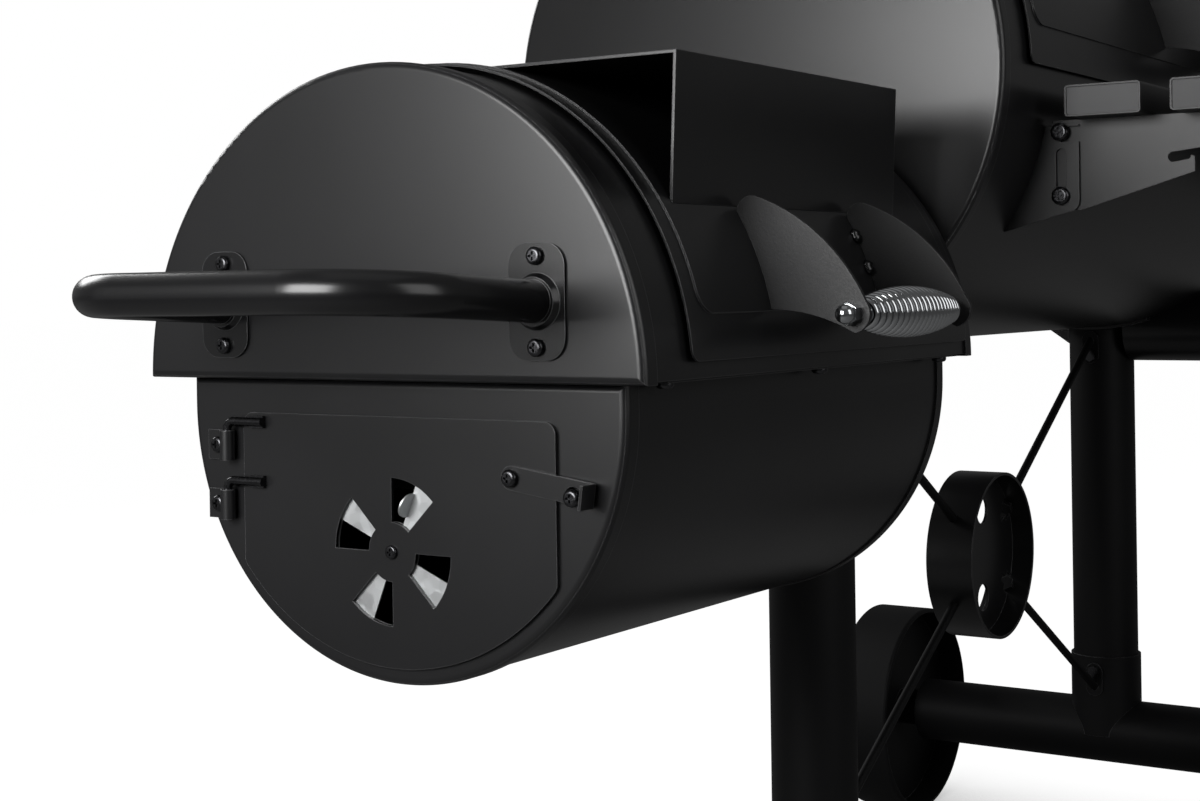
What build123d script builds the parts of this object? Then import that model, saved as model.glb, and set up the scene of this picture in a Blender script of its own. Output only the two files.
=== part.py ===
from build123d import *
from math import asin, atan2, cos, degrees, pi, radians, sin, sqrt, tan
import os

os.makedirs("parts", exist_ok=True)

# Offset smoker: a round cooking barrel on two legs with a smaller firebox at its left end.
# Millimetres. +X runs from the firebox to the chimney, -Y is the front, Z = 0 is the floor.

# sheet metal and fits
SHEET = 1.6  # wall of the barrels, caps and doors
FIT = 0.1  # gap of pieces that are fixed to each other
GAP = 0.3  # gap of pieces that move past each other
PIN_FIT = 0.06  # radial gap of a pin in its knuckle

# cooking barrel
BARREL_R = 228.6
BARREL_L = 992.0
BARREL_H = 845.0  # height of the axis
CAP_FLANGE = 14.0  # how far a pressed cap reaches over its shell
CAP_ROUND = 5.0  # rounded rim of a pressed cap

# firebox
BOX_L = 478.0
TOP_R = 200.0
BOX_DROP = 228.0  # firebox seam below the barrel's axis
TOP_H = BARREL_H - BOX_DROP  # height of the seam between the upper shell and the trough
TROUGH_IN = 24.0  # trough's outline inside the upper shell's
TROUGH_R = TOP_R - TROUGH_IN
TROUGH_DROP = 17.3  # trough axis below the seam
TROUGH_BACK = 17.4  # trough cap set back from the upper cap
SEAM_W = TROUGH_IN - 4.0  # width of the two seam flanges
PASS_W = 220.0  # smoke passage into the barrel
PASS_H = 110.0
PASS_UP = 108.0  # middle of the passage above the seam

# doors, both bent to the shell that they cover
LIFT = 3.0  # outer face of a door above the cap
FIELD_UP = 1.6  # height of the pressed field
HINGE_A = 115.0  # angle of the hinge line, from the front over the top
KNUCKLE_R = 6.0
KNUCKLE_L = 20.0
PIN_R = 3.0
PIN_OUT = 8.0  # hinge axis above the door's outer face
LEAF = 3.0  # thickness of a hinge leaf
LEAF_A = 12.0  # angle that a hinge leaf reaches from the hinge line
LAP = 14.0  # how far a door covers the edge of its opening
LAP_A = 6.0
BOX_DOOR_L = 50.0  # door edge from the firebox's left end
BOX_DOOR_R = 19.0  # door edge from the firebox's right end
BOX_DOOR_A = 3.4
MAIN_DOOR_X = 52.0  # door edge from each end of the barrel
MAIN_DOOR_A = 0.4
FIELD_IN = 14.0  # pressed field inside the door's side edges
FIELD_A = 8.0  # pressed field inside the door's lower edge
CORNER = 15.0

# spring handles of the two doors
WING_T = 3.0
WING_A = 0.0  # turn of a handle about its barrel
BOX_GRIP_X = 151.0  # left wing from the firebox's left end
BOX_GRIP_W = 158.0  # spacing of the wings
MAIN_GRIP_W = 178.0
GRIP_ROD_R = 4.0
GRIP_UP = 54.8  # rod axis above the pressed field
GRIP_A = 8.5  # angle of the rod axis
TIP_R = 12.0
WIRE = 5.0
COILS = 20
COIL_END_R = 7.2
COIL_MID_R = 14.5
NUT_AF = 13.0

# heat shield over the firebox handle
HOOD_L = 75.0
HOOD_R = 390.0
HOOD_T = 2.0
HOOD_FRONT = 0.8925 * TOP_R
HOOD_TOP = 0.995 * TOP_R
HOOD_LOW = 0.535 * TOP_R
HOOD_FOOT = 0.871 * TOP_R

# pull handle
PULL_R = 12.7
PULL_WALL = 1.6
PULL_Y = 126.5
PULL_UP = 49.0
PULL_OUT = 145.0
PULL_BEND = 60.0
PULL_TILT = 3.0
PLATE_W = 40.7
PLATE_H = 70.0
PLATE_T = 2.0
BOSS_R = 17.0
BOSS_T = 4.0
PLATE_SCREW = 27.0  # screws above and below the tube

# pan-head screws
SCREW_R = 3.0
SCREW_L = 12.0
HEAD_R = 5.5
HEAD_T = 4.0

# ash door with its vent, hinges and latch
ASH_W = 254.0
ASH_TOP = 23.0  # top edge below the seam
ASH_T = 2.5
ASH_RIM = 11.0  # door edge inside the trough's outline
ASH_LAP = 16.0
ASH_CORNER = 8.0
VENT_DOWN = 108.6
VENT_IN = 19.0
VENT_OUT = 47.0
SHUTTER_R = 52.0
SHUTTER_T = 1.2
VENT_SCREW_R = 2.5
TAB_R = 8.0
PINTLE_Y = ASH_W / 2 + 12.3
PINTLE_R = 3.0
PINTLE_BARREL = 5.0
PINTLE_L = 20.0
PINTLE_TOPS = (35.4, 75.0)  # tops of the hinge barrels below the seam
PINTLE_END = ASH_W / 2 - 20.0
BRACKET_W = 20.0
BRACKET_T = 2.0
LATCH_Y = ASH_W / 2 - 31.4
LATCH_DOWN = 57.5
LATCH_L = 60.0
LATCH_W = 15.0
LATCH_T = 2.0
LATCH_A = 8.0  # slope of the bar, down to the front
LATCH_TAB = 12.0
CATCH_Y = ASH_W / 2 + 14.0
CATCH_DROP = 3.5  # catch screw below the middle of the bar
CATCH_ROOM = 1.2  # play of the notch round the catch screw's head

# grates
GRATE_T = 6.0
GRATE_BAR = 8.0
GRATE_DOWN = 24.0  # cooking grates below the barrel's axis
GRATE_COUNT = 3
GRATE_ROOM = 28.6  # barrel outline to a grate's front edge
GRATE_D = 2 * (BARREL_R - GRATE_ROOM)
TRAY_DOWN = 140.0
TRAY_ROOM = 83.6
TRAY_D = 2 * (BARREL_R - TRAY_ROOM)
RAIL_T = 3.0
RAIL_IN = 14.0  # overlap of a grate on its rail
BOX_GRATE_D = 240.0
BOX_GRATE_L = 360.0
BOX_GRATE_DOWN = 75.0

# thermometer in the main door
DIAL_A = 52.0
DIAL_R = 38.0
DIAL_T = 16.0
DIAL_WALL = 3.0
STEM_R = 4.0
STEM_L = 60.0
NEEDLE_T = 0.8
NEEDLE_A = 130.0  # cold end of the scale, from the dial's top

# chimney on the right cap
PIPE_R = 38.0
PIPE_BEND = PIPE_R + 22.0
PIPE_OUT = PIPE_BEND + 20.0  # upright axis from the cap
PIPE_UP = 60.0  # inlet above the barrel's axis
PIPE_H = 390.0  # top above the inlet
PIPE_FLANGE = PIPE_R + 20.0
LID_R = PIPE_R + 4.0
LID_T = 2.0
LID_PIVOT = PIPE_R + 14.0

# stand
LEG_R = 38.0
LEG_WALL = 2.0
LEG_IN = 110.0  # leg from each end of the barrel
FOOT_L = 600.0
PAD_T = 6.0
PAD_W = 60.0
SOCKET_T = 3.0
SOCKET_H = 57.0  # sleeve above the cross tube
STRAP_T = 3.0
STRAP_W = 90.0
STRAP_A = 18.0
GUSSET_T = 6.0
GUSSET_DOWN = 22.0
ARM_R = LEG_R  # front arm of the right cradle
ARM_L = 92.0
ARM_DROP = 3.0
WHEEL_R = 127.0
WHEEL_W = 71.0
WHEEL_IN = 237.0  # inner face of a wheel from the middle
RIM_T = 5.0
WEB_T = 4.0
HUB_R = 22.0
AXLE_R = 8.0
AXLE_HEAD = 8.0
RING_R = 86.3
RING_W = 49.0
RING_T = 3.0
RING_EYE = 14.0  # two holes in the ring's disc
RING_HOLE = 45.5  # above and below its middle
ROD_R = 4.5
ROD_TOP = BARREL_H - BARREL_R - 32.4  # upper bolts
ROD_LOW = WHEEL_R + 78.0  # lower bolts
RING_H = (ROD_TOP + ROD_LOW) / 2 - 6.0
EYE_W = 20.0
EYE_H = 32.0
EYE_T = 3.0
EYE_BOLT_R = 4.0
EYE_JOIN = 19.0  # rod meets its eye this far from the bolt

# folding front shelf
SHELF_IN = 102.0  # bracket from each end of the barrel
SHELF_T = 3.0
SHELF_DROP = 41.0
SHELF_UP = BARREL_H - SHELF_DROP  # top of the arms
SHELF_BOLT_Y = BARREL_R + 6.9
SHELF_BOLT_HIGH = SHELF_UP - 9.6
SHELF_BOLT_LOW = SHELF_BOLT_HIGH - 51.8
SHELF_BOLT_R = 4.0
SHELF_HEAD_R = 7.5
SHELF_HEAD_T = 5.0
SLAT_Y = SHELF_BOLT_Y + 13.5  # rear edge of the first slat
SLAT_W = 61.0
SLAT_H = 25.0
SLAT_STEP = 84.0
SLAT_COUNT = 3
SLAT_WALL = 1.5
SLAT_OVER = 28.0  # slat end beyond the bracket
FLANGE_W = 20.0
FLANGE_T = 2.0

# worked-out places
PULL_REACH = PULL_OUT * cos(radians(PULL_TILT)) + PULL_R + PLATE_T
PIPE_REACH = PIPE_OUT + LID_R
SHELF_FRONT = SLAT_Y + SLAT_STEP * (SLAT_COUNT - 1) + SLAT_W + 3.0
REAR = WHEEL_IN + WHEEL_W + GAP + AXLE_HEAD
AXIS_Y = (SHELF_FRONT - REAR) / 2
X_BOX = (PULL_REACH - PIPE_REACH - BOX_L - BARREL_L) / 2
X_BARREL = X_BOX + BOX_L
X_END = X_BARREL + BARREL_L
X_MID = X_BARREL + BARREL_L / 2
X_TROUGH = X_BOX + TROUGH_BACK
BARREL_SHELL = BARREL_R - SHEET - FIT
TOP_SHELL = TOP_R - SHEET - FIT
TROUGH_SHELL = TROUGH_R - SHEET - FIT
TROUGH_H = TOP_H - TROUGH_DROP
SHELL_FLOOR = TOP_H + SHEET + FIT
MAIN_FACE = BARREL_R + LIFT
BOX_FACE = TOP_R + LIFT
LEG_X = (X_BARREL + LEG_IN, X_END - LEG_IN)
FOOT_H = PAD_T + LEG_R
FOOT_HEIGHTS = (FOOT_H, WHEEL_R)


def yz(x, y=0.0, z=0.0):
    """Upright plane across the barrel: local x to the rear, local y up, normal to the right."""
    return Plane(origin=(x, AXIS_Y + y, z), x_dir=(0, 1, 0), z_dir=(1, 0, 0))


def left(x, y=0.0, z=0.0):
    """Upright plane across the barrel that faces left: local x up, local y to the rear."""
    return Plane(origin=(x, AXIS_Y + y, z), x_dir=(0, 0, 1), z_dir=(-1, 0, 0))


def right(x, y=0.0, z=0.0):
    """Upright plane across the barrel that faces right: local x up."""
    return Plane(origin=(x, AXIS_Y + y, z), x_dir=(0, 0, 1), z_dir=(1, 0, 0))


def front(y, x=0.0, z=0.0):
    """Upright plane along the barrel that faces the front: local x right, local y up."""
    return Plane(origin=(x, AXIS_Y + y, z), x_dir=(1, 0, 0), z_dir=(0, -1, 0))


def level(z, x=0.0, y=0.0):
    """Level plane: local x right, local y to the rear."""
    return Plane(origin=(x, AXIS_Y + y, z), x_dir=(1, 0, 0), z_dir=(0, 0, 1))


def around(height, r, a):
    """Point at radius r about a barrel's axis, a degrees up from the front."""
    return (-r * cos(radians(a)), height + r * sin(radians(a)))


def sector(height, r0, r1, a0, a1):
    """Ring sector about a barrel's axis."""
    mid = (a0 + a1) / 2
    with BuildSketch() as flat:
        with BuildLine():
            ThreePointArc(around(height, r1, a0), around(height, r1, mid), around(height, r1, a1))
            Line(around(height, r1, a1), around(height, r0, a1))
            ThreePointArc(around(height, r0, a1), around(height, r0, mid), around(height, r0, a0))
            Line(around(height, r0, a0), around(height, r1, a0))
        make_face()
    return flat.sketch


def bent_plate(height, r0, r1, a0, a1, x0, length, corner):
    """Plate bent about a barrel's axis, with rounded corners."""
    with BuildPart() as plate:
        with BuildSketch(yz(x0)):
            add(sector(height, r0, r1, a0, a1))
        extrude(amount=length)
        short = [e for e in plate.edges().filter_by(GeomType.LINE) if abs(e.length - (r1 - r0)) < 0.01]
        fillet(short, corner)
    return plate.part


def round_bar(height, r, x0, length):
    """Solid cylinder on a barrel's axis, used to trim what sits on the barrel."""
    with BuildPart() as bar:
        with BuildSketch(yz(x0, 0, height)):
            Circle(r)
        extrude(amount=length)
    return bar.part


def bowl(height, r, edge):
    """Half circle under the axis, with straight sides up to a level edge."""
    with BuildSketch() as flat:
        with BuildLine():
            ThreePointArc((-r, height), (0, height - r), (r, height))
            Polyline((r, height), (r, edge), (-r, edge), (-r, height))
        make_face()
    return flat.sketch


def dome(height, r, edge):
    """Part of a circle above a level edge."""
    half = sqrt(r * r - (edge - height) ** 2)
    with BuildSketch() as flat:
        with BuildLine():
            ThreePointArc((-half, edge), (0, height + r), (half, edge))
            Line((half, edge), (-half, edge))
        make_face()
    return flat.sketch


def pan_screw(shank, length, head, tall):
    """Pan-head screw, head up from the level z = 0, with a cross recess."""
    with BuildPart() as screw:
        with BuildSketch():
            Circle(head)
        extrude(amount=tall)
        fillet(screw.edges().group_by(Axis.Z)[-1], tall * 0.6)
        with BuildSketch():
            Circle(shank)
        extrude(amount=-length)
        with BuildSketch(Plane.XY.offset(tall)):
            Rectangle(head, head * 0.26)
            Rectangle(head * 0.26, head)
        extrude(amount=-tall * 0.4, mode=Mode.SUBTRACT)
    return screw.part


def hex_bolt(shank, length, head, tall):
    """Hexagon bolt, head up from the level z = 0."""
    with BuildPart() as bolt:
        with BuildSketch():
            RegularPolygon(head, 6)
        extrude(amount=tall)
        with BuildSketch():
            Circle(shank)
        extrude(amount=-length)
    return bolt.part


# cooking barrel: rolled shell, open under the door
with BuildPart() as barrel:
    with BuildSketch(yz(X_BARREL + SHEET, 0, BARREL_H)):
        Circle(BARREL_SHELL)
        Circle(BARREL_SHELL - SHEET, mode=Mode.SUBTRACT)
    extrude(amount=BARREL_L - 2 * SHEET)
    with BuildSketch(yz(X_BARREL + MAIN_DOOR_X + LAP)):
        add(sector(BARREL_H, BARREL_R - 30, BARREL_R + 30, MAIN_DOOR_A + LAP_A, HINGE_A - LAP_A))
    extrude(amount=BARREL_L - 2 * MAIN_DOOR_X - 2 * LAP, mode=Mode.SUBTRACT)
barrel.part.label = "main_barrel"
export_step(barrel.part, "parts/main_barrel.step")

# left barrel cap with the smoke passage
with BuildPart() as left_cap:
    with BuildSketch(yz(X_BARREL, 0, BARREL_H)):
        Circle(BARREL_R)
    extrude(amount=CAP_FLANGE)
    fillet(left_cap.edges().group_by(Axis.X)[0], CAP_ROUND)
    with BuildSketch(yz(X_BARREL + SHEET, 0, BARREL_H)):
        Circle(BARREL_R - SHEET)
    extrude(amount=CAP_FLANGE, mode=Mode.SUBTRACT)
    with BuildSketch(yz(X_BARREL, 0, TOP_H + PASS_UP)):
        RectangleRounded(PASS_W, PASS_H, CORNER)
    extrude(amount=CAP_FLANGE, mode=Mode.SUBTRACT)
left_cap.part.label = "barrel_left_cap"
export_step(left_cap.part, "parts/barrel_left_cap.step")

# right barrel cap with the chimney inlet
with BuildPart() as right_cap:
    with BuildSketch(yz(X_END - CAP_FLANGE, 0, BARREL_H)):
        Circle(BARREL_R)
    extrude(amount=CAP_FLANGE)
    fillet(right_cap.edges().group_by(Axis.X)[-1], CAP_ROUND)
    with BuildSketch(yz(X_END - CAP_FLANGE, 0, BARREL_H)):
        Circle(BARREL_R - SHEET)
    extrude(amount=CAP_FLANGE - SHEET, mode=Mode.SUBTRACT)
    with BuildSketch(yz(X_END - SHEET, 0, BARREL_H + PIPE_UP)):
        Circle(PIPE_R - SHEET)
    extrude(amount=SHEET, mode=Mode.SUBTRACT)
right_cap.part.label = "barrel_right_cap"
export_step(right_cap.part, "parts/barrel_right_cap.step")

# firebox trough: half shell with straight sides and outward seam flanges
FLANGE_X = X_TROUGH + CAP_FLANGE + 3
FLANGE_L = X_BARREL - CAP_FLANGE - 3 - FLANGE_X
SEAM_Y = TROUGH_SHELL + SEAM_W / 2
SEAM_X = [FLANGE_X + FLANGE_L * k for k in (0.03, 0.5, 0.97)]
SEAM_POINTS = [(x, AXIS_Y + side * SEAM_Y, SHELL_FLOOR) for x in SEAM_X for side in (-1, 1)]
with BuildPart() as trough:
    with BuildSketch(yz(X_TROUGH + SHEET)):
        add(bowl(TROUGH_H, TROUGH_SHELL, TOP_H - FIT))
        add(bowl(TROUGH_H, TROUGH_SHELL - SHEET, SHELL_FLOOR), mode=Mode.SUBTRACT)
    extrude(amount=BOX_L - TROUGH_BACK - 2 * SHEET)
    with BuildSketch(yz(FLANGE_X, 0, SHELL_FLOOR - SHEET / 2)):
        with Locations((-SEAM_Y + SHEET / 2, 0), (SEAM_Y - SHEET / 2, 0)):
            Rectangle(SEAM_W + SHEET, SHEET)
        with Locations((-TROUGH_SHELL + SHEET / 2, -SHEET), (TROUGH_SHELL - SHEET / 2, -SHEET)):
            Rectangle(SHEET, 2 * SHEET)
    extrude(amount=FLANGE_L)
    with Locations(*SEAM_POINTS):
        Hole(SCREW_R + FIT, depth=2 * SHEET)
trough.part.label = "firebox_trough"
export_step(trough.part, "parts/firebox_trough.step")

# left trough cap with the ash opening and the holes of its screws
CAP_TOP = SHELL_FLOOR - SHEET - FIT
ASH_R = TROUGH_R - ASH_RIM
BRACKET_Y = PINTLE_Y + PINTLE_BARREL + BRACKET_W / 2 - 4
BRACKET_Z = [TOP_H - top - PINTLE_L / 2 for top in PINTLE_TOPS]
CATCH_Z = TOP_H - LATCH_DOWN - (CATCH_Y - LATCH_Y) * tan(radians(LATCH_A)) - CATCH_DROP


def ash_outline(inset):
    """Ash door outline, drawn in by inset on every side."""
    half = ASH_W / 2 - inset
    r = ASH_R - inset
    top = TOP_H - ASH_TOP - inset
    low = TROUGH_H - sqrt(r * r - half * half)
    with BuildSketch() as flat:
        with BuildLine():
            Polyline((-half, low), (-half, top), (half, top), (half, low))
            ThreePointArc((half, low), (0, TROUGH_H - r), (-half, low))
        make_face()
        fillet(flat.vertices(), ASH_CORNER)
    return flat.sketch


with BuildPart() as trough_left:
    with BuildSketch(yz(X_TROUGH)):
        add(bowl(TROUGH_H, TROUGH_R, CAP_TOP))
    extrude(amount=CAP_FLANGE)
    fillet(trough_left.edges().group_by(Axis.X)[0], CAP_ROUND)
    with BuildSketch(yz(X_TROUGH + SHEET)):
        add(bowl(TROUGH_H, TROUGH_R - SHEET, CAP_TOP + SHEET))
    extrude(amount=CAP_FLANGE, mode=Mode.SUBTRACT)
    with BuildSketch(yz(X_TROUGH)):
        add(ash_outline(ASH_LAP))
    extrude(amount=CAP_FLANGE, mode=Mode.SUBTRACT)
    with Locations(*[left(X_TROUGH, BRACKET_Y, z) for z in BRACKET_Z], left(X_TROUGH, -CATCH_Y, CATCH_Z)):
        Hole(SCREW_R + FIT, depth=2 * SHEET)
trough_left.part.label = "trough_left_cap"
export_step(trough_left.part, "parts/trough_left_cap.step")

with BuildPart() as trough_right:
    with BuildSketch(yz(X_BARREL - CAP_FLANGE)):
        add(bowl(TROUGH_H, TROUGH_R, CAP_TOP))
    extrude(amount=CAP_FLANGE)
    fillet(trough_right.edges().group_by(Axis.X)[-1], CAP_ROUND)
    with BuildSketch(yz(X_BARREL - CAP_FLANGE)):
        add(bowl(TROUGH_H, TROUGH_R - SHEET, CAP_TOP + SHEET))
    extrude(amount=CAP_FLANGE - SHEET, mode=Mode.SUBTRACT)
trough_right.part.label = "trough_right_cap"
export_step(trough_right.part, "parts/trough_right_cap.step")

# firebox upper shell: half shell with inward seam flanges, open under its door
with BuildPart() as top_shell:
    with BuildSketch(yz(X_BOX + SHEET)):
        add(dome(TOP_H, TOP_SHELL, SHELL_FLOOR))
        add(dome(TOP_H, TOP_SHELL - SHEET, SHELL_FLOOR - FIT), mode=Mode.SUBTRACT)
    extrude(amount=BOX_L - 2 * SHEET)
    with BuildSketch(yz(FLANGE_X, 0, SHELL_FLOOR + SHEET / 2)):
        for side in (-1, 1):
            with Locations((side * (TOP_SHELL - SHEET + TROUGH_SHELL) / 2, 0)):
                Rectangle(TOP_SHELL - TROUGH_SHELL, SHEET)
    extrude(amount=FLANGE_L)
    with BuildSketch(yz(X_BOX + BOX_DOOR_L + LAP)):
        add(sector(TOP_H, TOP_R - 30, TOP_R + 30, BOX_DOOR_A + LAP_A, HINGE_A - LAP_A))
    extrude(amount=BOX_L - BOX_DOOR_L - BOX_DOOR_R - 2 * LAP, mode=Mode.SUBTRACT)
    with Locations(*SEAM_POINTS):
        Hole(SCREW_R + FIT, depth=2 * SHEET)
    with Locations(*[(x, y, z + SHEET) for x, y, z in SEAM_POINTS]):
        Hole(SCREW_R + FIT, depth=2 * SHEET)
top_shell.part.label = "firebox_top"
export_step(top_shell.part, "parts/firebox_top.step")

# left upper cap with the holes of the pull handle's screws
PLATE_POINTS = [(side * PULL_Y, TOP_H + PULL_UP + up) for side in (-1, 1) for up in (-PLATE_SCREW, PLATE_SCREW)]
with BuildPart() as top_left:
    with BuildSketch(yz(X_BOX)):
        add(dome(TOP_H, TOP_R, TOP_H))
    extrude(amount=CAP_FLANGE)
    fillet(top_left.edges().group_by(Axis.X)[0], CAP_ROUND)
    with BuildSketch(yz(X_BOX + SHEET)):
        add(dome(TOP_H, TOP_R - SHEET, TOP_H + SHEET))
    extrude(amount=CAP_FLANGE, mode=Mode.SUBTRACT)
    with Locations(*[left(X_BOX, y, z) for y, z in PLATE_POINTS]):
        Hole(SCREW_R + FIT, depth=2 * SHEET)
top_left.part.label = "top_left_cap"
export_step(top_left.part, "parts/top_left_cap.step")

with BuildPart() as top_right:
    with BuildSketch(yz(X_BARREL - CAP_FLANGE)):
        add(dome(TOP_H, TOP_R, TOP_H))
    extrude(amount=CAP_FLANGE)
    fillet(top_right.edges().group_by(Axis.X)[-1], CAP_ROUND)
    with BuildSketch(yz(X_BARREL - CAP_FLANGE)):
        add(dome(TOP_H, TOP_R - SHEET, TOP_H + SHEET))
    extrude(amount=CAP_FLANGE - SHEET, mode=Mode.SUBTRACT)
    with BuildSketch(yz(X_BARREL - SHEET, 0, TOP_H + PASS_UP)):
        RectangleRounded(PASS_W, PASS_H, CORNER)
    extrude(amount=SHEET, mode=Mode.SUBTRACT)
top_right.part.label = "top_right_cap"
export_step(top_right.part, "parts/top_right_cap.step")

# pull handle: bent tube welded to two drawn plates
PULL_Z = TOP_H + PULL_UP
tilt = radians(PULL_TILT)
pull_plane = Plane(origin=(X_BOX - PLATE_T, AXIS_Y, PULL_Z), x_dir=(0, 1, 0), z_dir=(sin(tilt), 0, cos(tilt)))
with BuildPart() as pull:
    with BuildLine(pull_plane) as pull_path:
        FilletPolyline(
            (-PULL_Y, -PULL_R), (-PULL_Y, PULL_OUT), (PULL_Y, PULL_OUT), (PULL_Y, -PULL_R), radius=PULL_BEND
        )
    with BuildSketch(Plane(pull_path.line @ 0, z_dir=pull_path.line % 0)):
        Circle(PULL_R)
        Circle(PULL_R - PULL_WALL, mode=Mode.SUBTRACT)
    sweep()
    with BuildSketch(yz(X_BOX - PLATE_T, 0, PULL_Z)):
        Rectangle(4 * PULL_Y, 4 * PLATE_H)
    extrude(amount=4 * PULL_R, mode=Mode.SUBTRACT)
    with BuildSketch(yz(X_BOX, 0, PULL_Z)):
        with Locations((-PULL_Y, 0), (PULL_Y, 0)):
            RectangleRounded(PLATE_W, PLATE_H, 14)
    extrude(amount=-PLATE_T)
    for side in (-1, 1):
        with BuildSketch(yz(X_BOX - PLATE_T, side * PULL_Y, PULL_Z)):
            Circle(BOSS_R)
        extrude(amount=-BOSS_T, taper=30)
    with Locations(*[left(X_BOX - PLATE_T, y, z) for y, z in PLATE_POINTS]):
        Hole(SCREW_R + FIT, depth=2 * PLATE_T)
pull.part.label = "pull_handle"
export_step(pull.part, "parts/pull_handle.step")

CATCH_FACE = X_TROUGH - GAP - ASH_T - GAP - LATCH_T - GAP

# ash door: pressed plate with four vent sectors
ASH_BACK = X_TROUGH - GAP
ASH_FACE = ASH_BACK - ASH_T
VENT_Z = TOP_H - VENT_DOWN
LATCH_Z = TOP_H - LATCH_DOWN


def fan(r0, r1, start, count):
    """Ring sectors of 45 degrees about the vent's middle, one every quarter turn."""
    with BuildSketch() as flat:
        for k in range(count):
            a0 = radians(start + 90 * k)
            a1 = a0 + pi / 4
            mid = (a0 + a1) / 2
            with BuildLine():
                ThreePointArc(
                    (r1 * cos(a0), r1 * sin(a0)), (r1 * cos(mid), r1 * sin(mid)), (r1 * cos(a1), r1 * sin(a1))
                )
                Line((r1 * cos(a1), r1 * sin(a1)), (r0 * cos(a1), r0 * sin(a1)))
                ThreePointArc(
                    (r0 * cos(a1), r0 * sin(a1)), (r0 * cos(mid), r0 * sin(mid)), (r0 * cos(a0), r0 * sin(a0))
                )
                Line((r0 * cos(a0), r0 * sin(a0)), (r1 * cos(a0), r1 * sin(a0)))
            make_face()
    return flat.sketch


with BuildPart() as ash_door:
    with BuildSketch(yz(ASH_FACE)):
        add(ash_outline(0))
    extrude(amount=ASH_T)
    with BuildSketch(yz(ASH_FACE, 0, VENT_Z)):
        add(fan(VENT_IN, VENT_OUT, 90, 4))
        Circle(VENT_SCREW_R + FIT)
    extrude(amount=ASH_T, mode=Mode.SUBTRACT)
    with Locations(left(ASH_FACE, -LATCH_Y, LATCH_Z)):
        Hole(SCREW_R + FIT, depth=ASH_T)
ash_door.part.label = "ash_door"
export_step(ash_door.part, "parts/ash_door.step")

# lift-off hinges: barrels on screwed plates, and bent pintles welded to the ash door
PINTLE_X = ASH_FACE - PINTLE_R
with BuildPart() as brackets:
    for top in PINTLE_TOPS:
        with BuildSketch(level(TOP_H - top, PINTLE_X, PINTLE_Y)):
            Circle(PINTLE_BARREL)
        extrude(amount=-PINTLE_L)
        with BuildSketch(yz(X_TROUGH, BRACKET_Y, TOP_H - top - PINTLE_L / 2)):
            Rectangle(BRACKET_W, PINTLE_L)
        extrude(amount=-BRACKET_T)
        with BuildSketch(level(TOP_H - top, PINTLE_X, PINTLE_Y)):
            Circle(PINTLE_R + PIN_FIT)
        extrude(amount=-PINTLE_L, mode=Mode.SUBTRACT)
    with Locations(*[left(X_TROUGH - BRACKET_T, BRACKET_Y, z) for z in BRACKET_Z]):
        Hole(SCREW_R + FIT, depth=2 * BRACKET_T)
brackets.part.label = "hinge_brackets"
export_step(brackets.part, "parts/hinge_brackets.step")

PINTLE_BEND = 2 * PINTLE_R
PINTLE_LEG = PINTLE_BEND + GAP
with BuildPart() as pintles:
    for top in PINTLE_TOPS:
        bend = yz(PINTLE_X, 0, TOP_H - top)
        with BuildLine(bend) as pintle_path:
            FilletPolyline(
                (PINTLE_Y, -PINTLE_L), (PINTLE_Y, PINTLE_LEG), (PINTLE_END, PINTLE_LEG), radius=PINTLE_BEND
            )
        with BuildSketch(Plane(pintle_path.line @ 0, z_dir=pintle_path.line % 0)):
            Circle(PINTLE_R)
        sweep()
        with BuildSketch(yz(PINTLE_X, PINTLE_END + PINTLE_BEND, TOP_H - top + PINTLE_LEG)):
            Rectangle(2 * PINTLE_BEND, 2 * PINTLE_R + 2)
        extrude(amount=PINTLE_R)
pintles.part.label = "door_pintles"
export_step(pintles.part, "parts/door_pintles.step")

# latch bar with a notch over the catch screw and an outward finger tab
LATCH_FACE = ASH_FACE - GAP - LATCH_T
NOTCH_R = HEAD_R + CATCH_ROOM
latch_plane = yz(LATCH_FACE, -LATCH_Y, LATCH_Z)
with BuildPart() as latch:
    with BuildSketch(latch_plane):
        with Locations(Location((0, 0, 0), (0, 0, LATCH_A))):
            with Locations((-LATCH_L / 2, 0)):
                Rectangle(LATCH_L, LATCH_W)
            Circle(LATCH_W / 2)
        Circle(SCREW_R + PIN_FIT, mode=Mode.SUBTRACT)
        with Locations((LATCH_Y - CATCH_Y, CATCH_Z - LATCH_Z)):
            Circle(NOTCH_R, mode=Mode.SUBTRACT)
        with Locations((LATCH_Y - CATCH_Y, CATCH_Z - LATCH_Z - LATCH_W)):
            Rectangle(2 * NOTCH_R, 2 * LATCH_W, mode=Mode.SUBTRACT)
    extrude(amount=LATCH_T)
    with BuildSketch(latch_plane):
        with Locations(Location((0, 0, 0), (0, 0, LATCH_A))):
            with Locations((-LATCH_L + LATCH_T / 2, 0)):
                Rectangle(LATCH_T, LATCH_W)
    extrude(amount=-LATCH_TAB)
latch.part.label = "latch"
export_step(latch.part, "parts/latch.step")

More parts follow.
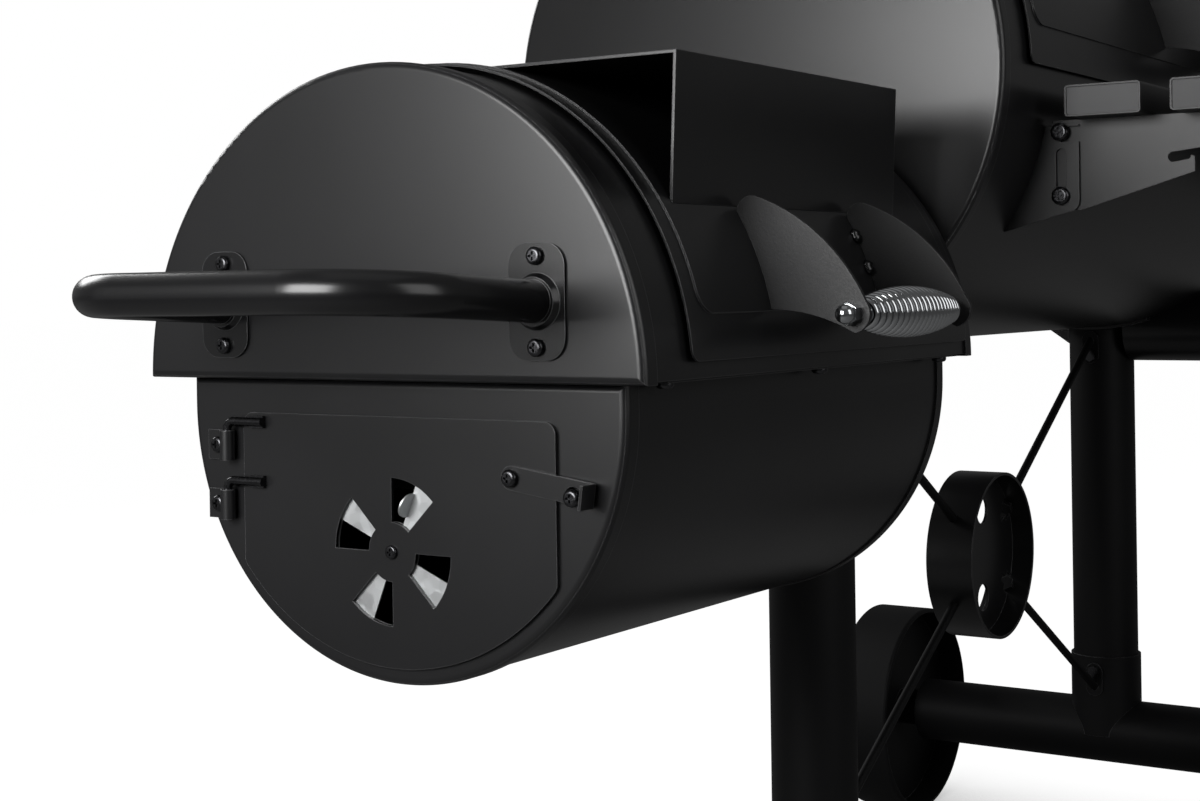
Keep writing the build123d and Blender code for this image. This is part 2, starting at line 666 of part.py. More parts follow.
# vent shutter behind the ash door, half open, with a finger tab through the top sector
SHUTTER_X = ASH_BACK + GAP
tab_a = radians(112.5)
tab_mid = (VENT_IN + VENT_OUT) / 2
tab_up = SHUTTER_T + GAP + ASH_T
tab_at = (SHUTTER_X + SHUTTER_T, AXIS_Y + tab_mid * cos(tab_a), VENT_Z + tab_mid * sin(tab_a))
tab_plane = Plane(origin=tab_at, x_dir=(0, cos(tab_a), sin(tab_a)), z_dir=(0, -sin(tab_a), cos(tab_a)))
with BuildPart() as shutter:
    with BuildSketch(yz(SHUTTER_X, 0, VENT_Z)):
        Circle(SHUTTER_R)
        add(fan(VENT_IN, VENT_OUT, 67.5, 4), mode=Mode.SUBTRACT)
        Circle(VENT_SCREW_R + PIN_FIT, mode=Mode.SUBTRACT)
    extrude(amount=SHUTTER_T)
    with BuildSketch(tab_plane):
        with BuildLine():
            ThreePointArc((-TAB_R, tab_up), (0, tab_up + TAB_R), (TAB_R, tab_up))
            Polyline((TAB_R, tab_up), (TAB_R, 0), (-TAB_R, 0), (-TAB_R, tab_up))
        make_face()
    extrude(amount=SHUTTER_T)
shutter.part.label = "vent_shutter"
export_step(shutter.part, "parts/vent_shutter.step")

# pivot screws of the latch and the shutter, with the shutter's nut
VENT_STACK = ASH_T + SHUTTER_T + 2 * GAP
NUT_T = 3.0
latch_screw = pan_screw(SCREW_R, LATCH_T + 2 * GAP + ASH_T + NUT_T, HEAD_R, HEAD_T)
vent_screw = pan_screw(VENT_SCREW_R, VENT_STACK + NUT_T, VENT_SCREW_R + 2, VENT_SCREW_R)
with BuildPart() as door_screws:
    with Locations(left(LATCH_FACE - GAP, -LATCH_Y, LATCH_Z)):
        add(latch_screw)
    with Locations(left(ASH_FACE, 0, VENT_Z)):
        add(vent_screw)
    with BuildSketch(yz(ASH_FACE + VENT_STACK, 0, VENT_Z)):
        RegularPolygon(VENT_SCREW_R + 2, 6)
        Circle(VENT_SCREW_R + FIT, mode=Mode.SUBTRACT)
    extrude(amount=NUT_T)
door_screws.part.label = "door_screws"
export_step(door_screws.part, "parts/door_screws.step")

# slotted firebox grate on four feet
GRATE_Z = TOP_H - BOX_GRATE_DOWN
GRATE_X = (X_TROUGH + X_BARREL) / 2
BOX_SLOTS = int((BOX_GRATE_L - GRATE_BAR) // (3 * GRATE_BAR))
with BuildPart() as box_grate:
    with BuildSketch(level(GRATE_Z, GRATE_X)):
        Rectangle(BOX_GRATE_L, BOX_GRATE_D)
        with GridLocations(3 * GRATE_BAR, BOX_GRATE_D / 2, BOX_SLOTS, 2):
            Rectangle(2 * GRATE_BAR, BOX_GRATE_D / 2 - 2 * GRATE_BAR, mode=Mode.SUBTRACT)
    extrude(amount=GRATE_T)
    with BuildSketch(level(GRATE_Z, GRATE_X)):
        with GridLocations(BOX_GRATE_L - GRATE_BAR, BOX_GRATE_D - GRATE_BAR, 2, 2):
            Circle(GRATE_BAR / 2)
    extrude(amount=-TROUGH_R)
    shell_bar = round_bar(TROUGH_H, TROUGH_SHELL - SHEET - FIT, X_BOX, BOX_L)
    add(shell_bar, mode=Mode.INTERSECT)
box_grate.part.label = "firebox_grate"
export_step(box_grate.part, "parts/firebox_grate.step")

# rails along the barrel's wall for the cooking grates and the charcoal tray
RAIL_X = X_BARREL + CAP_FLANGE
RAIL_L = BARREL_L - 2 * CAP_FLANGE
INNER = BARREL_SHELL - SHEET
with BuildPart() as rails:
    for down, depth in ((GRATE_DOWN, GRATE_D), (TRAY_DOWN, TRAY_D)):
        inside = depth / 2 - RAIL_IN
        with BuildSketch(yz(RAIL_X, 0, BARREL_H - down - RAIL_T / 2)):
            with Locations((-(inside + BARREL_R) / 2, 0), ((inside + BARREL_R) / 2, 0)):
                Rectangle(BARREL_R - inside, RAIL_T)
        extrude(amount=RAIL_L)
    add(round_bar(BARREL_H, INNER - FIT, X_BARREL, BARREL_L), mode=Mode.INTERSECT)
rails.part.label = "grate_rails"
export_step(rails.part, "parts/grate_rails.step")

# cooking grates side by side on the upper rails
GRATE_L = RAIL_L / GRATE_COUNT - 2
SLOTS = int((GRATE_L - GRATE_BAR) // (2.5 * GRATE_BAR))
with BuildPart() as grates:
    for k in range(GRATE_COUNT):
        x = RAIL_X + RAIL_L * (k + 0.5) / GRATE_COUNT
        with BuildSketch(level(BARREL_H - GRATE_DOWN, x)):
            Rectangle(GRATE_L, GRATE_D)
            with GridLocations(2.5 * GRATE_BAR, GRATE_D / 2, SLOTS, 2):
                Rectangle(1.5 * GRATE_BAR, GRATE_D / 2 - 2 * GRATE_BAR, mode=Mode.SUBTRACT)
        extrude(amount=GRATE_T)
grates.part.label = "cooking_grates"
export_step(grates.part, "parts/cooking_grates.step")

# charcoal tray: perforated pan on the lower rails
TRAY_L = RAIL_L - 2 * GRATE_BAR
with BuildPart() as tray:
    with BuildSketch(level(BARREL_H - TRAY_DOWN, X_MID)):
        Rectangle(TRAY_L, TRAY_D)
    extrude(amount=30)
    with BuildSketch(level(BARREL_H - TRAY_DOWN + 2, X_MID)):
        Rectangle(TRAY_L - 4, TRAY_D - 4)
    extrude(amount=30, mode=Mode.SUBTRACT)
    with BuildSketch(level(BARREL_H - TRAY_DOWN, X_MID)):
        with GridLocations(60, 70, int(TRAY_L // 60) - 1, int((TRAY_D - 40) // 70)):
            SlotOverall(40, 12)
    extrude(amount=2, mode=Mode.SUBTRACT)
tray.part.label = "charcoal_tray"
export_step(tray.part, "parts/charcoal_tray.step")


def door_panel(height, face, a0, x0, length):
    """Bent door with a pressed field."""
    field_l = length - 2 * FIELD_IN
    a1 = HINGE_A - 1.5
    f0 = a0 + FIELD_A
    f1 = HINGE_A - LEAF_A - 4
    side = degrees(SHEET / face)
    with BuildPart() as door:
        add(bent_plate(height, face - SHEET, face, a0, a1, x0, length, CORNER / 2))
        add(bent_plate(height, face - SHEET, face + FIELD_UP, f0, f1, x0 + FIELD_IN, field_l, CORNER))
        hollow = bent_plate(
            height,
            face - 2 * SHEET,
            face + FIELD_UP - SHEET,
            f0 + side,
            f1 - side,
            x0 + FIELD_IN + SHEET,
            field_l - 2 * SHEET,
            CORNER - SHEET,
        )
        add(hollow, mode=Mode.SUBTRACT)
    return door.part


def wing(height, face):
    """Handle wing standing on a door's pressed field."""
    root = face + FIELD_UP
    tip = around(height, root + GRIP_UP, GRIP_A)
    shoulder = around(height, root + 15.6, 31.2)

    def rim(a):
        return (tip[0] + TIP_R * cos(radians(a)), tip[1] + TIP_R * sin(radians(a)))

    with BuildSketch() as flat:
        with BuildLine():
            Polyline(around(height, root - 6, 11.7), around(height, root - 6, 30.4), around(height, root, 30.6))
            ThreePointArc(around(height, root, 30.6), around(height, root + 6, 31.8), shoulder)
            ThreePointArc(shoulder, around(height, root + 50.7, 18.15), rim(141))
            ThreePointArc(rim(141), rim(200), rim(262))
            ThreePointArc(rim(262), around(height, root + 25.6, 9.6), around(height, root, 11.7))
            Line(around(height, root, 11.7), around(height, root - 6, 11.7))
        make_face()
        with Locations(tip):
            Circle(GRIP_ROD_R + FIT, mode=Mode.SUBTRACT)
    return flat.sketch


def wing_pair(height, face, x0, width):
    """Two wings, trimmed to the pressed field that they are welded to."""
    with BuildPart() as pair:
        for x in (x0, x0 + width):
            with BuildSketch(yz(x)):
                add(wing(height, face))
            extrude(amount=WING_T)
        add(round_bar(height, face + FIELD_UP + FIT, x0 - width, 3 * width), mode=Mode.SUBTRACT)
    return pair.part


def grip_rod(height, face, x0, width):
    """Plain rod through both wings, long enough for a nut at each end."""
    tip = around(height, face + FIELD_UP + GRIP_UP, GRIP_A)
    with BuildPart() as rod:
        with BuildSketch(yz(x0 - NUT_AF / 2, tip[0], tip[1])):
            Circle(GRIP_ROD_R)
        extrude(amount=width + WING_T + NUT_AF)
    return rod.part


def acorn():
    """Acorn nut standing on the level z = 0."""
    tall = NUT_AF * 0.6
    with BuildPart() as nut:
        with BuildSketch():
            RegularPolygon(NUT_AF / 2, 6, major_radius=False)
        extrude(amount=tall)
        with BuildSketch():
            Circle(0.47 * NUT_AF)
        extrude(amount=tall + 0.6 * NUT_AF)
        fillet(nut.edges().group_by(Axis.Z)[-1], 0.44 * NUT_AF)
        with BuildSketch():
            Circle(GRIP_ROD_R + FIT)
        extrude(amount=NUT_AF / 2 + FIT, mode=Mode.SUBTRACT)
    return nut.part


def nut_pair(height, face, x0, width):
    """Acorn nuts on both ends of a grip rod."""
    tip = around(height, face + FIELD_UP + GRIP_UP, GRIP_A)
    nut = acorn()
    with BuildPart() as pair:
        with Locations(left(x0, tip[0], tip[1]), right(x0 + width + WING_T, tip[0], tip[1])):
            add(nut)
    return pair.part


def arc_pair(p0, t0, p1, t1):
    """Two tangent arcs from p0 along t0 to p1 along t1, each as start, middle and end."""
    v = p1 - p0
    t = t0 + t1
    a = 2 * (1 - t0.dot(t1))
    b = 2 * v.dot(t)
    c = -v.dot(v)
    d = -c / b if abs(a) < 1e-9 else (-b + sqrt(b * b - 4 * a * c)) / (2 * a)
    q0 = p0 + t0 * d
    q1 = p1 - t1 * d
    joint = (q0 + q1) * 0.5
    arcs = []
    for start, corner, end in ((p0, q0, joint), (joint, q1, p1)):
        chord = (start + end) * 0.5
        rise = corner - chord
        half = (end - start).length / 2
        turn = atan2(rise.length, half)
        arcs.append((start, chord + rise.normalized() * (half * tan(turn / 2)), end))
    return arcs


def grip_spring(height, face, x0, width, name):
    """Barrel-shaped coil spring between two wings, wound about the grip rod."""
    tip = around(height, face + FIELD_UP + GRIP_UP, GRIP_A)
    bend = 1.2 * WIRE
    lead = WIRE + bend + FIT
    start = x0 + WING_T + lead
    run = width - WING_T - 2 * lead

    def coil_r(u):
        return COIL_END_R + (COIL_MID_R - COIL_END_R) * (1 - (2 * u - 1) ** 2)

    def at(turn):
        u = turn / COILS
        a = 2 * pi * turn
        return Vector(start + run * u, AXIS_Y + tip[0] + coil_r(u) * cos(a), tip[1] + coil_r(u) * sin(a))

    def along(turn):
        step = 0.001
        return (at(turn + step) - at(turn - step)).normalized()

    axis = Vector(1, 0, 0)
    stations = [(at(k / 4), along(k / 4)) for k in range(4 * COILS + 1)]
    first = (stations[0][0] - stations[0][1] * bend - axis * bend, axis)
    last = (stations[-1][0] + stations[-1][1] * bend + axis * bend, axis)
    stations = [first] + stations + [last]
    tail_in = Vector(x0 + WING_T + FIT, first[0].Y, first[0].Z)
    tail_out = Vector(x0 + width - FIT, last[0].Y, last[0].Z)
    edges = [Edge.make_line(tail_in, first[0])]
    for (p0, t0), (p1, t1) in zip(stations, stations[1:]):
        for a, m, b in arc_pair(p0, t0, p1, t1):
            edges.append(Edge.make_three_point_arc(a, m, b))
    edges.append(Edge.make_line(last[0], tail_out))
    dots = [at(k / 24) for k in range(24 * COILS + 1)]
    least = min((p - q).length for i, p in enumerate(dots) for q in dots[i + 12 : i + 40]) - WIRE
    print(name, "least gap between coils", round(least, 2))
    path = Wire(edges)
    with BuildPart() as spring:
        with BuildSketch(Plane(origin=tail_in, z_dir=(1, 0, 0))):
            Circle(WIRE / 2)
        sweep(path=path)
    return spring.part


# main door with its spring handle
MAIN_X = X_BARREL + MAIN_DOOR_X
MAIN_L = BARREL_L - 2 * MAIN_DOOR_X
MAIN_GRIP_X = X_MID - (MAIN_GRIP_W + WING_T) / 2
MAIN_FIELD = MAIN_FACE + FIELD_UP
dial_at = around(BARREL_H, MAIN_FIELD, DIAL_A)
dial_dir = (0, -cos(radians(DIAL_A)), sin(radians(DIAL_A)))
dial_plane = Plane(origin=(X_MID, AXIS_Y + dial_at[0], dial_at[1]), x_dir=(1, 0, 0), z_dir=dial_dir)
with BuildPart() as main_door:
    add(door_panel(BARREL_H, MAIN_FACE, MAIN_DOOR_A, MAIN_X, MAIN_L))
    with BuildSketch(dial_plane):
        Circle(STEM_R + FIT)
    extrude(amount=-4 * SHEET, both=True, mode=Mode.SUBTRACT)
main_door.part.label = "main_door"
export_step(main_door.part, "parts/main_door.step")

main_wings = wing_pair(BARREL_H, MAIN_FACE, MAIN_GRIP_X, MAIN_GRIP_W)
main_wings.label = "main_wings"
export_step(main_wings, "parts/main_wings.step")
main_rod = grip_rod(BARREL_H, MAIN_FACE, MAIN_GRIP_X, MAIN_GRIP_W)
main_rod.label = "main_grip_rod"
export_step(main_rod, "parts/main_grip_rod.step")
main_nuts = nut_pair(BARREL_H, MAIN_FACE, MAIN_GRIP_X, MAIN_GRIP_W)
main_nuts.label = "main_grip_nuts"
export_step(main_nuts, "parts/main_grip_nuts.step")
main_spring = grip_spring(BARREL_H, MAIN_FACE, MAIN_GRIP_X, MAIN_GRIP_W, "main_grip_spring")
main_spring.label = "main_grip_spring"
export_step(main_spring, "parts/main_grip_spring.step")

# firebox door with its spring handle
BOX_X = X_BOX + BOX_DOOR_L
BOX_DOOR_W = BOX_L - BOX_DOOR_L - BOX_DOOR_R
GRIP_X = X_BOX + BOX_GRIP_X
with BuildPart() as box_door:
    add(door_panel(TOP_H, BOX_FACE, BOX_DOOR_A, BOX_X, BOX_DOOR_W))
box_door.part.label = "firebox_door"
export_step(box_door.part, "parts/firebox_door.step")

box_wings = wing_pair(TOP_H, BOX_FACE, GRIP_X, BOX_GRIP_W)
box_wings.label = "firebox_wings"
export_step(box_wings, "parts/firebox_wings.step")
box_rod = grip_rod(TOP_H, BOX_FACE, GRIP_X, BOX_GRIP_W)
box_rod.label = "firebox_grip_rod"
export_step(box_rod, "parts/firebox_grip_rod.step")
box_nuts = nut_pair(TOP_H, BOX_FACE, GRIP_X, BOX_GRIP_W)
box_nuts.label = "firebox_grip_nuts"
export_step(box_nuts, "parts/firebox_grip_nuts.step")
box_spring = grip_spring(TOP_H, BOX_FACE, GRIP_X, BOX_GRIP_W, "firebox_grip_spring")
box_spring.label = "firebox_grip_spring"
export_step(box_spring, "parts/firebox_grip_spring.step")

# heat shield: bent sheet on the firebox door, over its handle
with BuildPart() as hood:
    with BuildSketch(yz(X_BOX + HOOD_L, 0, TOP_H)):
        with BuildLine():
            Polyline(
                (-HOOD_FOOT, HOOD_LOW),
                (-HOOD_FRONT, HOOD_TOP + HOOD_T),
                (0, HOOD_TOP + HOOD_T),
                (0, HOOD_TOP),
                (-HOOD_FRONT + HOOD_T + 0.1, HOOD_TOP),
                (-HOOD_FOOT + HOOD_T, HOOD_LOW - HOOD_T),
                close=True,
            )
        make_face()
    extrude(amount=HOOD_R - HOOD_L)
    add(round_bar(TOP_H, BOX_FACE + FIELD_UP + FIT, X_BOX, BOX_L), mode=Mode.SUBTRACT)
hood.part.label = "firebox_hood"
export_step(hood.part, "parts/firebox_hood.step")

# door hinges: fixed leaves on the shells, moving leaves on the doors, plain pins
HINGE_L = 3 * KNUCKLE_L
HINGES = (
    (BARREL_H, BARREL_SHELL, MAIN_FACE, [MAIN_X + MAIN_L * k - HINGE_L / 2 for k in (0.15, 0.85)]),
    (TOP_H, TOP_SHELL, BOX_FACE, [BOX_X + BOX_DOOR_W * k - HINGE_L / 2 for k in (0.2, 0.8)]),
)
with BuildPart() as fixed_leaves:
    for height, shell, face, places in HINGES:
        axis_at = around(height, face + PIN_OUT, HINGE_A)
        for x in places:
            with BuildSketch(yz(x)):
                add(sector(height, shell + FIT, shell + FIT + LEAF, HINGE_A + 1.5, HINGE_A + LEAF_A))
            extrude(amount=HINGE_L)
            for end in (x, x + HINGE_L - KNUCKLE_L + GAP):
                with BuildSketch(yz(end)):
                    add(sector(height, shell + FIT, face + PIN_OUT, HINGE_A + 0.2, HINGE_A + 3))
                    with Locations(axis_at):
                        Circle(KNUCKLE_R)
                        Circle(PIN_R + PIN_FIT, mode=Mode.SUBTRACT)
                extrude(amount=KNUCKLE_L - GAP)
fixed_leaves.part.label = "fixed_hinge_leaves"
export_step(fixed_leaves.part, "parts/fixed_hinge_leaves.step")

with BuildPart() as hinge_pins:
    for height, shell, face, places in HINGES:
        axis_at = around(height, face + PIN_OUT, HINGE_A)
        for x in places:
            with BuildSketch(yz(x - 2, axis_at[0], axis_at[1])):
                Circle(PIN_R)
            extrude(amount=HINGE_L + 4)
hinge_pins.part.label = "hinge_pins"
export_step(hinge_pins.part, "parts/hinge_pins.step")


def moving_leaves(height, face, places):
    """Leaves welded to a door, each with one knuckle between the fixed ones."""
    axis_at = around(height, face + PIN_OUT, HINGE_A)
    with BuildPart() as leaves:
        for x in places:
            with BuildSketch(yz(x)):
                add(sector(height, face + FIT, face + FIT + LEAF, HINGE_A - LEAF_A, HINGE_A - 2.2))
            extrude(amount=HINGE_L)
            with BuildSketch(yz(x + KNUCKLE_L)):
                add(sector(height, face + FIT, face + PIN_OUT, HINGE_A - 3.5, HINGE_A - 0.2))
                with Locations(axis_at):
                    Circle(KNUCKLE_R)
                    Circle(PIN_R + PIN_FIT, mode=Mode.SUBTRACT)
            extrude(amount=KNUCKLE_L)
    return leaves.part


main_leaves = moving_leaves(BARREL_H, MAIN_FACE, HINGES[0][3])
main_leaves.label = "main_door_leaves"
export_step(main_leaves, "parts/main_door_leaves.step")
box_leaves = moving_leaves(TOP_H, BOX_FACE, HINGES[1][3])
box_leaves.label = "firebox_door_leaves"
export_step(box_leaves, "parts/firebox_door_leaves.step")

# thermometer: cup with a stem through the door, needle on a pin, glass
with BuildPart() as bezel:
    with BuildSketch(dial_plane.offset(-DIAL_T / 2)):
        Circle(DIAL_R)
    extrude(amount=1.5 * DIAL_T)
    fillet(bezel.edges().group_by(Axis(dial_plane.origin, dial_plane.z_dir))[-1], 2)
    with BuildSketch(dial_plane.offset(DIAL_T * 0.4)):
        Circle(DIAL_R - DIAL_WALL)
    extrude(amount=DIAL_T, mode=Mode.SUBTRACT)
    add(round_bar(BARREL_H, MAIN_FIELD + FIT, X_MID - 2 * DIAL_R, 4 * DIAL_R), mode=Mode.SUBTRACT)
    with BuildSketch(dial_plane.offset(DIAL_T * 0.4)):
        Circle(STEM_R)
    extrude(amount=-STEM_L)
    with BuildSketch(dial_plane.offset(DIAL_T * 0.4)):
        Circle(1.5)
    extrude(amount=DIAL_T * 0.3)
bezel.part.label = "thermometer_case"
export_step(bezel.part, "parts/thermometer_case.step")

with BuildPart() as needle:
    with BuildSketch(dial_plane.offset(DIAL_T * 0.4 + 1)):
        Circle(3.2)
        with Locations(Location((0, 0, 0), (0, 0, NEEDLE_A))):
            with Locations((0, DIAL_R * 0.36)):
                Rectangle(1.8, DIAL_R * 0.72)
        Circle(1.5 + PIN_FIT, mode=Mode.SUBTRACT)
    extrude(amount=NEEDLE_T)
needle.part.label = "thermometer_needle"
export_step(needle.part, "parts/thermometer_needle.step")

with BuildPart() as glass:
    with BuildSketch(dial_plane.offset(DIAL_T * 0.4 + DIAL_T * 0.3 + GAP)):
        Circle(DIAL_R - DIAL_WALL - FIT)
    extrude(amount=2)
glass.part.label = "thermometer_glass"
export_step(glass.part, "parts/thermometer_glass.step")

# chimney: bent pipe on a flange, with an ear for its swinging lid
PIPE_X = X_END + PIPE_OUT
PIPE_Z = BARREL_H + PIPE_UP
PIPE_TOP = PIPE_Z + PIPE_H
with BuildPart() as chimney:
    with BuildLine(front(0)) as pipe_path:
        FilletPolyline((X_END, PIPE_Z), (PIPE_X, PIPE_Z), (PIPE_X, PIPE_TOP), radius=PIPE_BEND)
    with BuildSketch(yz(X_END, 0, PIPE_Z)):
        Circle(PIPE_R)
        Circle(PIPE_R - SHEET, mode=Mode.SUBTRACT)
    sweep(path=pipe_path.line)
    with BuildSketch(yz(X_END, 0, PIPE_Z)):
        Circle(PIPE_FLANGE)
        Circle(PIPE_R - SHEET, mode=Mode.SUBTRACT)
    extrude(amount=2 * SHEET)
    with BuildSketch(level(PIPE_TOP, PIPE_X)):
        with Locations((0, -LID_PIVOT / 2)):
            Rectangle(16, LID_PIVOT)
        with Locations((0, -LID_PIVOT)):
            Circle(8)
        Circle(PIPE_R - SHEET / 2, mode=Mode.SUBTRACT)
        with Locations((0, -LID_PIVOT)):
            Circle(SCREW_R + FIT, mode=Mode.SUBTRACT)
    extrude(amount=-2 * SHEET)
chimney.part.label = "chimney"
export_step(chimney.part, "parts/chimney.step")

with BuildPart() as lid:
    with BuildSketch(level(PIPE_TOP + GAP, PIPE_X)):
        Circle(LID_R)
        with Locations((0, -LID_PIVOT / 2)):
            Rectangle(16, LID_PIVOT)
        with Locations((0, -LID_PIVOT)):
            Circle(8)
            Circle(SCREW_R + PIN_FIT, mode=Mode.SUBTRACT)
    extrude(amount=LID_T)
lid.part.label = "chimney_lid"
export_step(lid.part, "parts/chimney_lid.step")

# pan-head screws: seam, pull handle, hinge brackets, catch and chimney lid
screw = pan_screw(SCREW_R, SCREW_L, HEAD_R, HEAD_T)
with BuildPart() as pan_screws:
    with Locations(*[Plane(origin=(x, y, z - SHEET), z_dir=(0, 0, -1)) for x, y, z in SEAM_POINTS]):
        add(screw)
    with Locations(*[left(X_BOX - PLATE_T, y, z) for y, z in PLATE_POINTS]):
        add(screw)
    with Locations(*[left(X_TROUGH - BRACKET_T, BRACKET_Y, z) for z in BRACKET_Z]):
        add(screw)
    with Locations(left(CATCH_FACE, -CATCH_Y, CATCH_Z)):
        add(screw)
    with Locations(level(PIPE_TOP + LID_T + 2 * GAP, PIPE_X, -LID_PIVOT)):
        add(screw)
pan_screws.part.label = "pan_screws"
export_step(pan_screws.part, "parts/pan_screws.step")

# leg-top cradles: straps under the barrel with gussets to the rear and the front
STRAP_R = BARREL_SHELL + FIT
with BuildPart() as cradles:
    for x in LEG_X:
        with BuildSketch(yz(x - STRAP_W / 2)):
            add(sector(BARREL_H, STRAP_R, STRAP_R + STRAP_T, 270 - STRAP_A, 270 + STRAP_A))
        extrude(amount=STRAP_W)
        with BuildSketch(yz(x - GUSSET_T / 2, 0, BARREL_H - STRAP_R)):
            for side in (-1, 1):
                with BuildLine():
                    Polyline(
                        (side * (LEG_R + FIT), -GUSSET_DOWN),
                        (side * (LEG_R + FIT), 40),
                        (side * STRAP_R * sin(radians(STRAP_A)), 40),
                        (side * STRAP_R * sin(radians(STRAP_A)), 0),
                        close=True,
                    )
                make_face()
        extrude(amount=GUSSET_T)
    arm_plane = front(-LEG_R - FIT, LEG_X[1], BARREL_H - STRAP_R - ARM_DROP)
    with BuildSketch(arm_plane):
        Circle(ARM_R)
        Circle(ARM_R - STRAP_T, mode=Mode.SUBTRACT)
    extrude(amount=ARM_L)
    with BuildSketch(arm_plane.offset(ARM_L)):
        Circle(ARM_R)
    extrude(amount=STRAP_T)
    add(round_bar(BARREL_H, STRAP_R, X_BARREL, BARREL_L), mode=Mode.SUBTRACT)
cradles.part.label = "leg_cradles"
export_step(cradles.part, "parts/leg_cradles.step")

# legs, feet and sockets
LEG_NAMES = ("left_leg", "right_leg")
RODS = []
for x, low, toward in zip(LEG_X, FOOT_HEIGHTS, (1, -1)):
    for z, outward in ((ROD_LOW, -1), (ROD_TOP, 1)):
        sleeve = SOCKET_T + FIT if z < low + LEG_R + SOCKET_H else 0.0
        RODS.append((x + toward * (LEG_R + FIT + sleeve), toward, z, z + outward * EYE_JOIN))
for leg_name, x, low, toward in zip(LEG_NAMES, LEG_X, FOOT_HEIGHTS, (1, -1)):
    with BuildPart() as leg:
        with BuildSketch(level(low, x)):
            Circle(LEG_R)
            Circle(LEG_R - LEG_WALL, mode=Mode.SUBTRACT)
        extrude(amount=BARREL_H - BARREL_R - low + STRAP_T)
        add(round_bar(BARREL_H, STRAP_R + STRAP_T + FIT, X_BARREL, BARREL_L), mode=Mode.SUBTRACT)
        with BuildSketch(front(-FOOT_L, x, low)):
            Circle(LEG_R + FIT)
        extrude(amount=-2 * FOOT_L, mode=Mode.SUBTRACT)
        with BuildSketch(yz(x, 0, 0)):
            with Locations((0, ROD_LOW), (0, ROD_TOP)):
                Circle(EYE_BOLT_R + FIT)
        extrude(amount=toward * 2 * LEG_R, mode=Mode.SUBTRACT)
    leg.part.label = leg_name
    export_step(leg.part, "parts/" + leg_name + ".step")

with BuildPart() as sockets:
    for x, low, toward in zip(LEG_X, FOOT_HEIGHTS, (1, -1)):
        with BuildSketch(level(low, x)):
            Circle(LEG_R + FIT + SOCKET_T)
            Circle(LEG_R + FIT, mode=Mode.SUBTRACT)
        extrude(amount=LEG_R + SOCKET_H)
        with BuildSketch(front(-FOOT_L, x, low)):
            Circle(LEG_R + FIT)
        extrude(amount=-2 * FOOT_L, mode=Mode.SUBTRACT)
        with BuildSketch(yz(x, 0, ROD_LOW)):
            Circle(EYE_BOLT_R + FIT)
        extrude(amount=toward * 2 * LEG_R, mode=Mode.SUBTRACT)
sockets.part.label = "leg_sockets"
export_step(sockets.part, "parts/leg_sockets.step")

# left foot tube with closed ends, on two pads
with BuildPart() as foot:
    with BuildSketch(front(-FOOT_L / 2, LEG_X[0], FOOT_H)):
        Circle(LEG_R)
    extrude(amount=-FOOT_L)
    with BuildSketch(front(-FOOT_L / 2 + LEG_WALL, LEG_X[0], FOOT_H)):
        Circle(LEG_R - LEG_WALL)
    extrude(amount=-FOOT_L + 2 * LEG_WALL, mode=Mode.SUBTRACT)
foot.part.label = "foot_tube"
export_step(foot.part, "parts/foot_tube.step")

with BuildPart() as pads:
    with BuildSketch(level(0, LEG_X[0])):
        with GridLocations(0, FOOT_L - PAD_W, 1, 2):
            Rectangle(PAD_W, PAD_W)
    extrude(amount=PAD_T + LEG_R / 2)
    with BuildSketch(front(-FOOT_L, LEG_X[0], FOOT_H)):
        Circle(LEG_R + FIT)
    extrude(amount=-2 * FOOT_L, mode=Mode.SUBTRACT)
pads.part.label = "foot_pads"
export_step(pads.part, "parts/foot_pads.step")

# axle tube with closed, bored ends
AXLE_L = 2 * (WHEEL_IN - GAP)
with BuildPart() as axle:
    with BuildSketch(front(-AXLE_L / 2, LEG_X[1], WHEEL_R)):
        Circle(LEG_R)
    extrude(amount=-AXLE_L)
    with BuildSketch(front(-AXLE_L / 2 + 10, LEG_X[1], WHEEL_R)):
        Circle(LEG_R - LEG_WALL)
    extrude(amount=-AXLE_L + 20, mode=Mode.SUBTRACT)
    with BuildSketch(front(-AXLE_L, LEG_X[1], WHEEL_R)):
        Circle(AXLE_R + FIT)
    extrude(amount=-2 * AXLE_L, mode=Mode.SUBTRACT)
axle.part.label = "axle_tube"
export_step(axle.part, "parts/axle_tube.step")

axle_bolt = hex_bolt(AXLE_R, WHEEL_W + 2 * GAP + 30, 2 * AXLE_R, AXLE_HEAD)
BOLT_Y = WHEEL_IN + WHEEL_W + GAP
with BuildPart() as axle_bolts:
    with Locations(
        Plane(origin=(LEG_X[1], AXIS_Y - BOLT_Y, WHEEL_R), x_dir=(1, 0, 0), z_dir=(0, -1, 0)),
        Plane(origin=(LEG_X[1], AXIS_Y + BOLT_Y, WHEEL_R), x_dir=(1, 0, 0), z_dir=(0, 1, 0)),
    ):
        add(axle_bolt)
axle_bolts.part.label = "axle_bolts"
export_step(axle_bolts.part, "parts/axle_bolts.step")


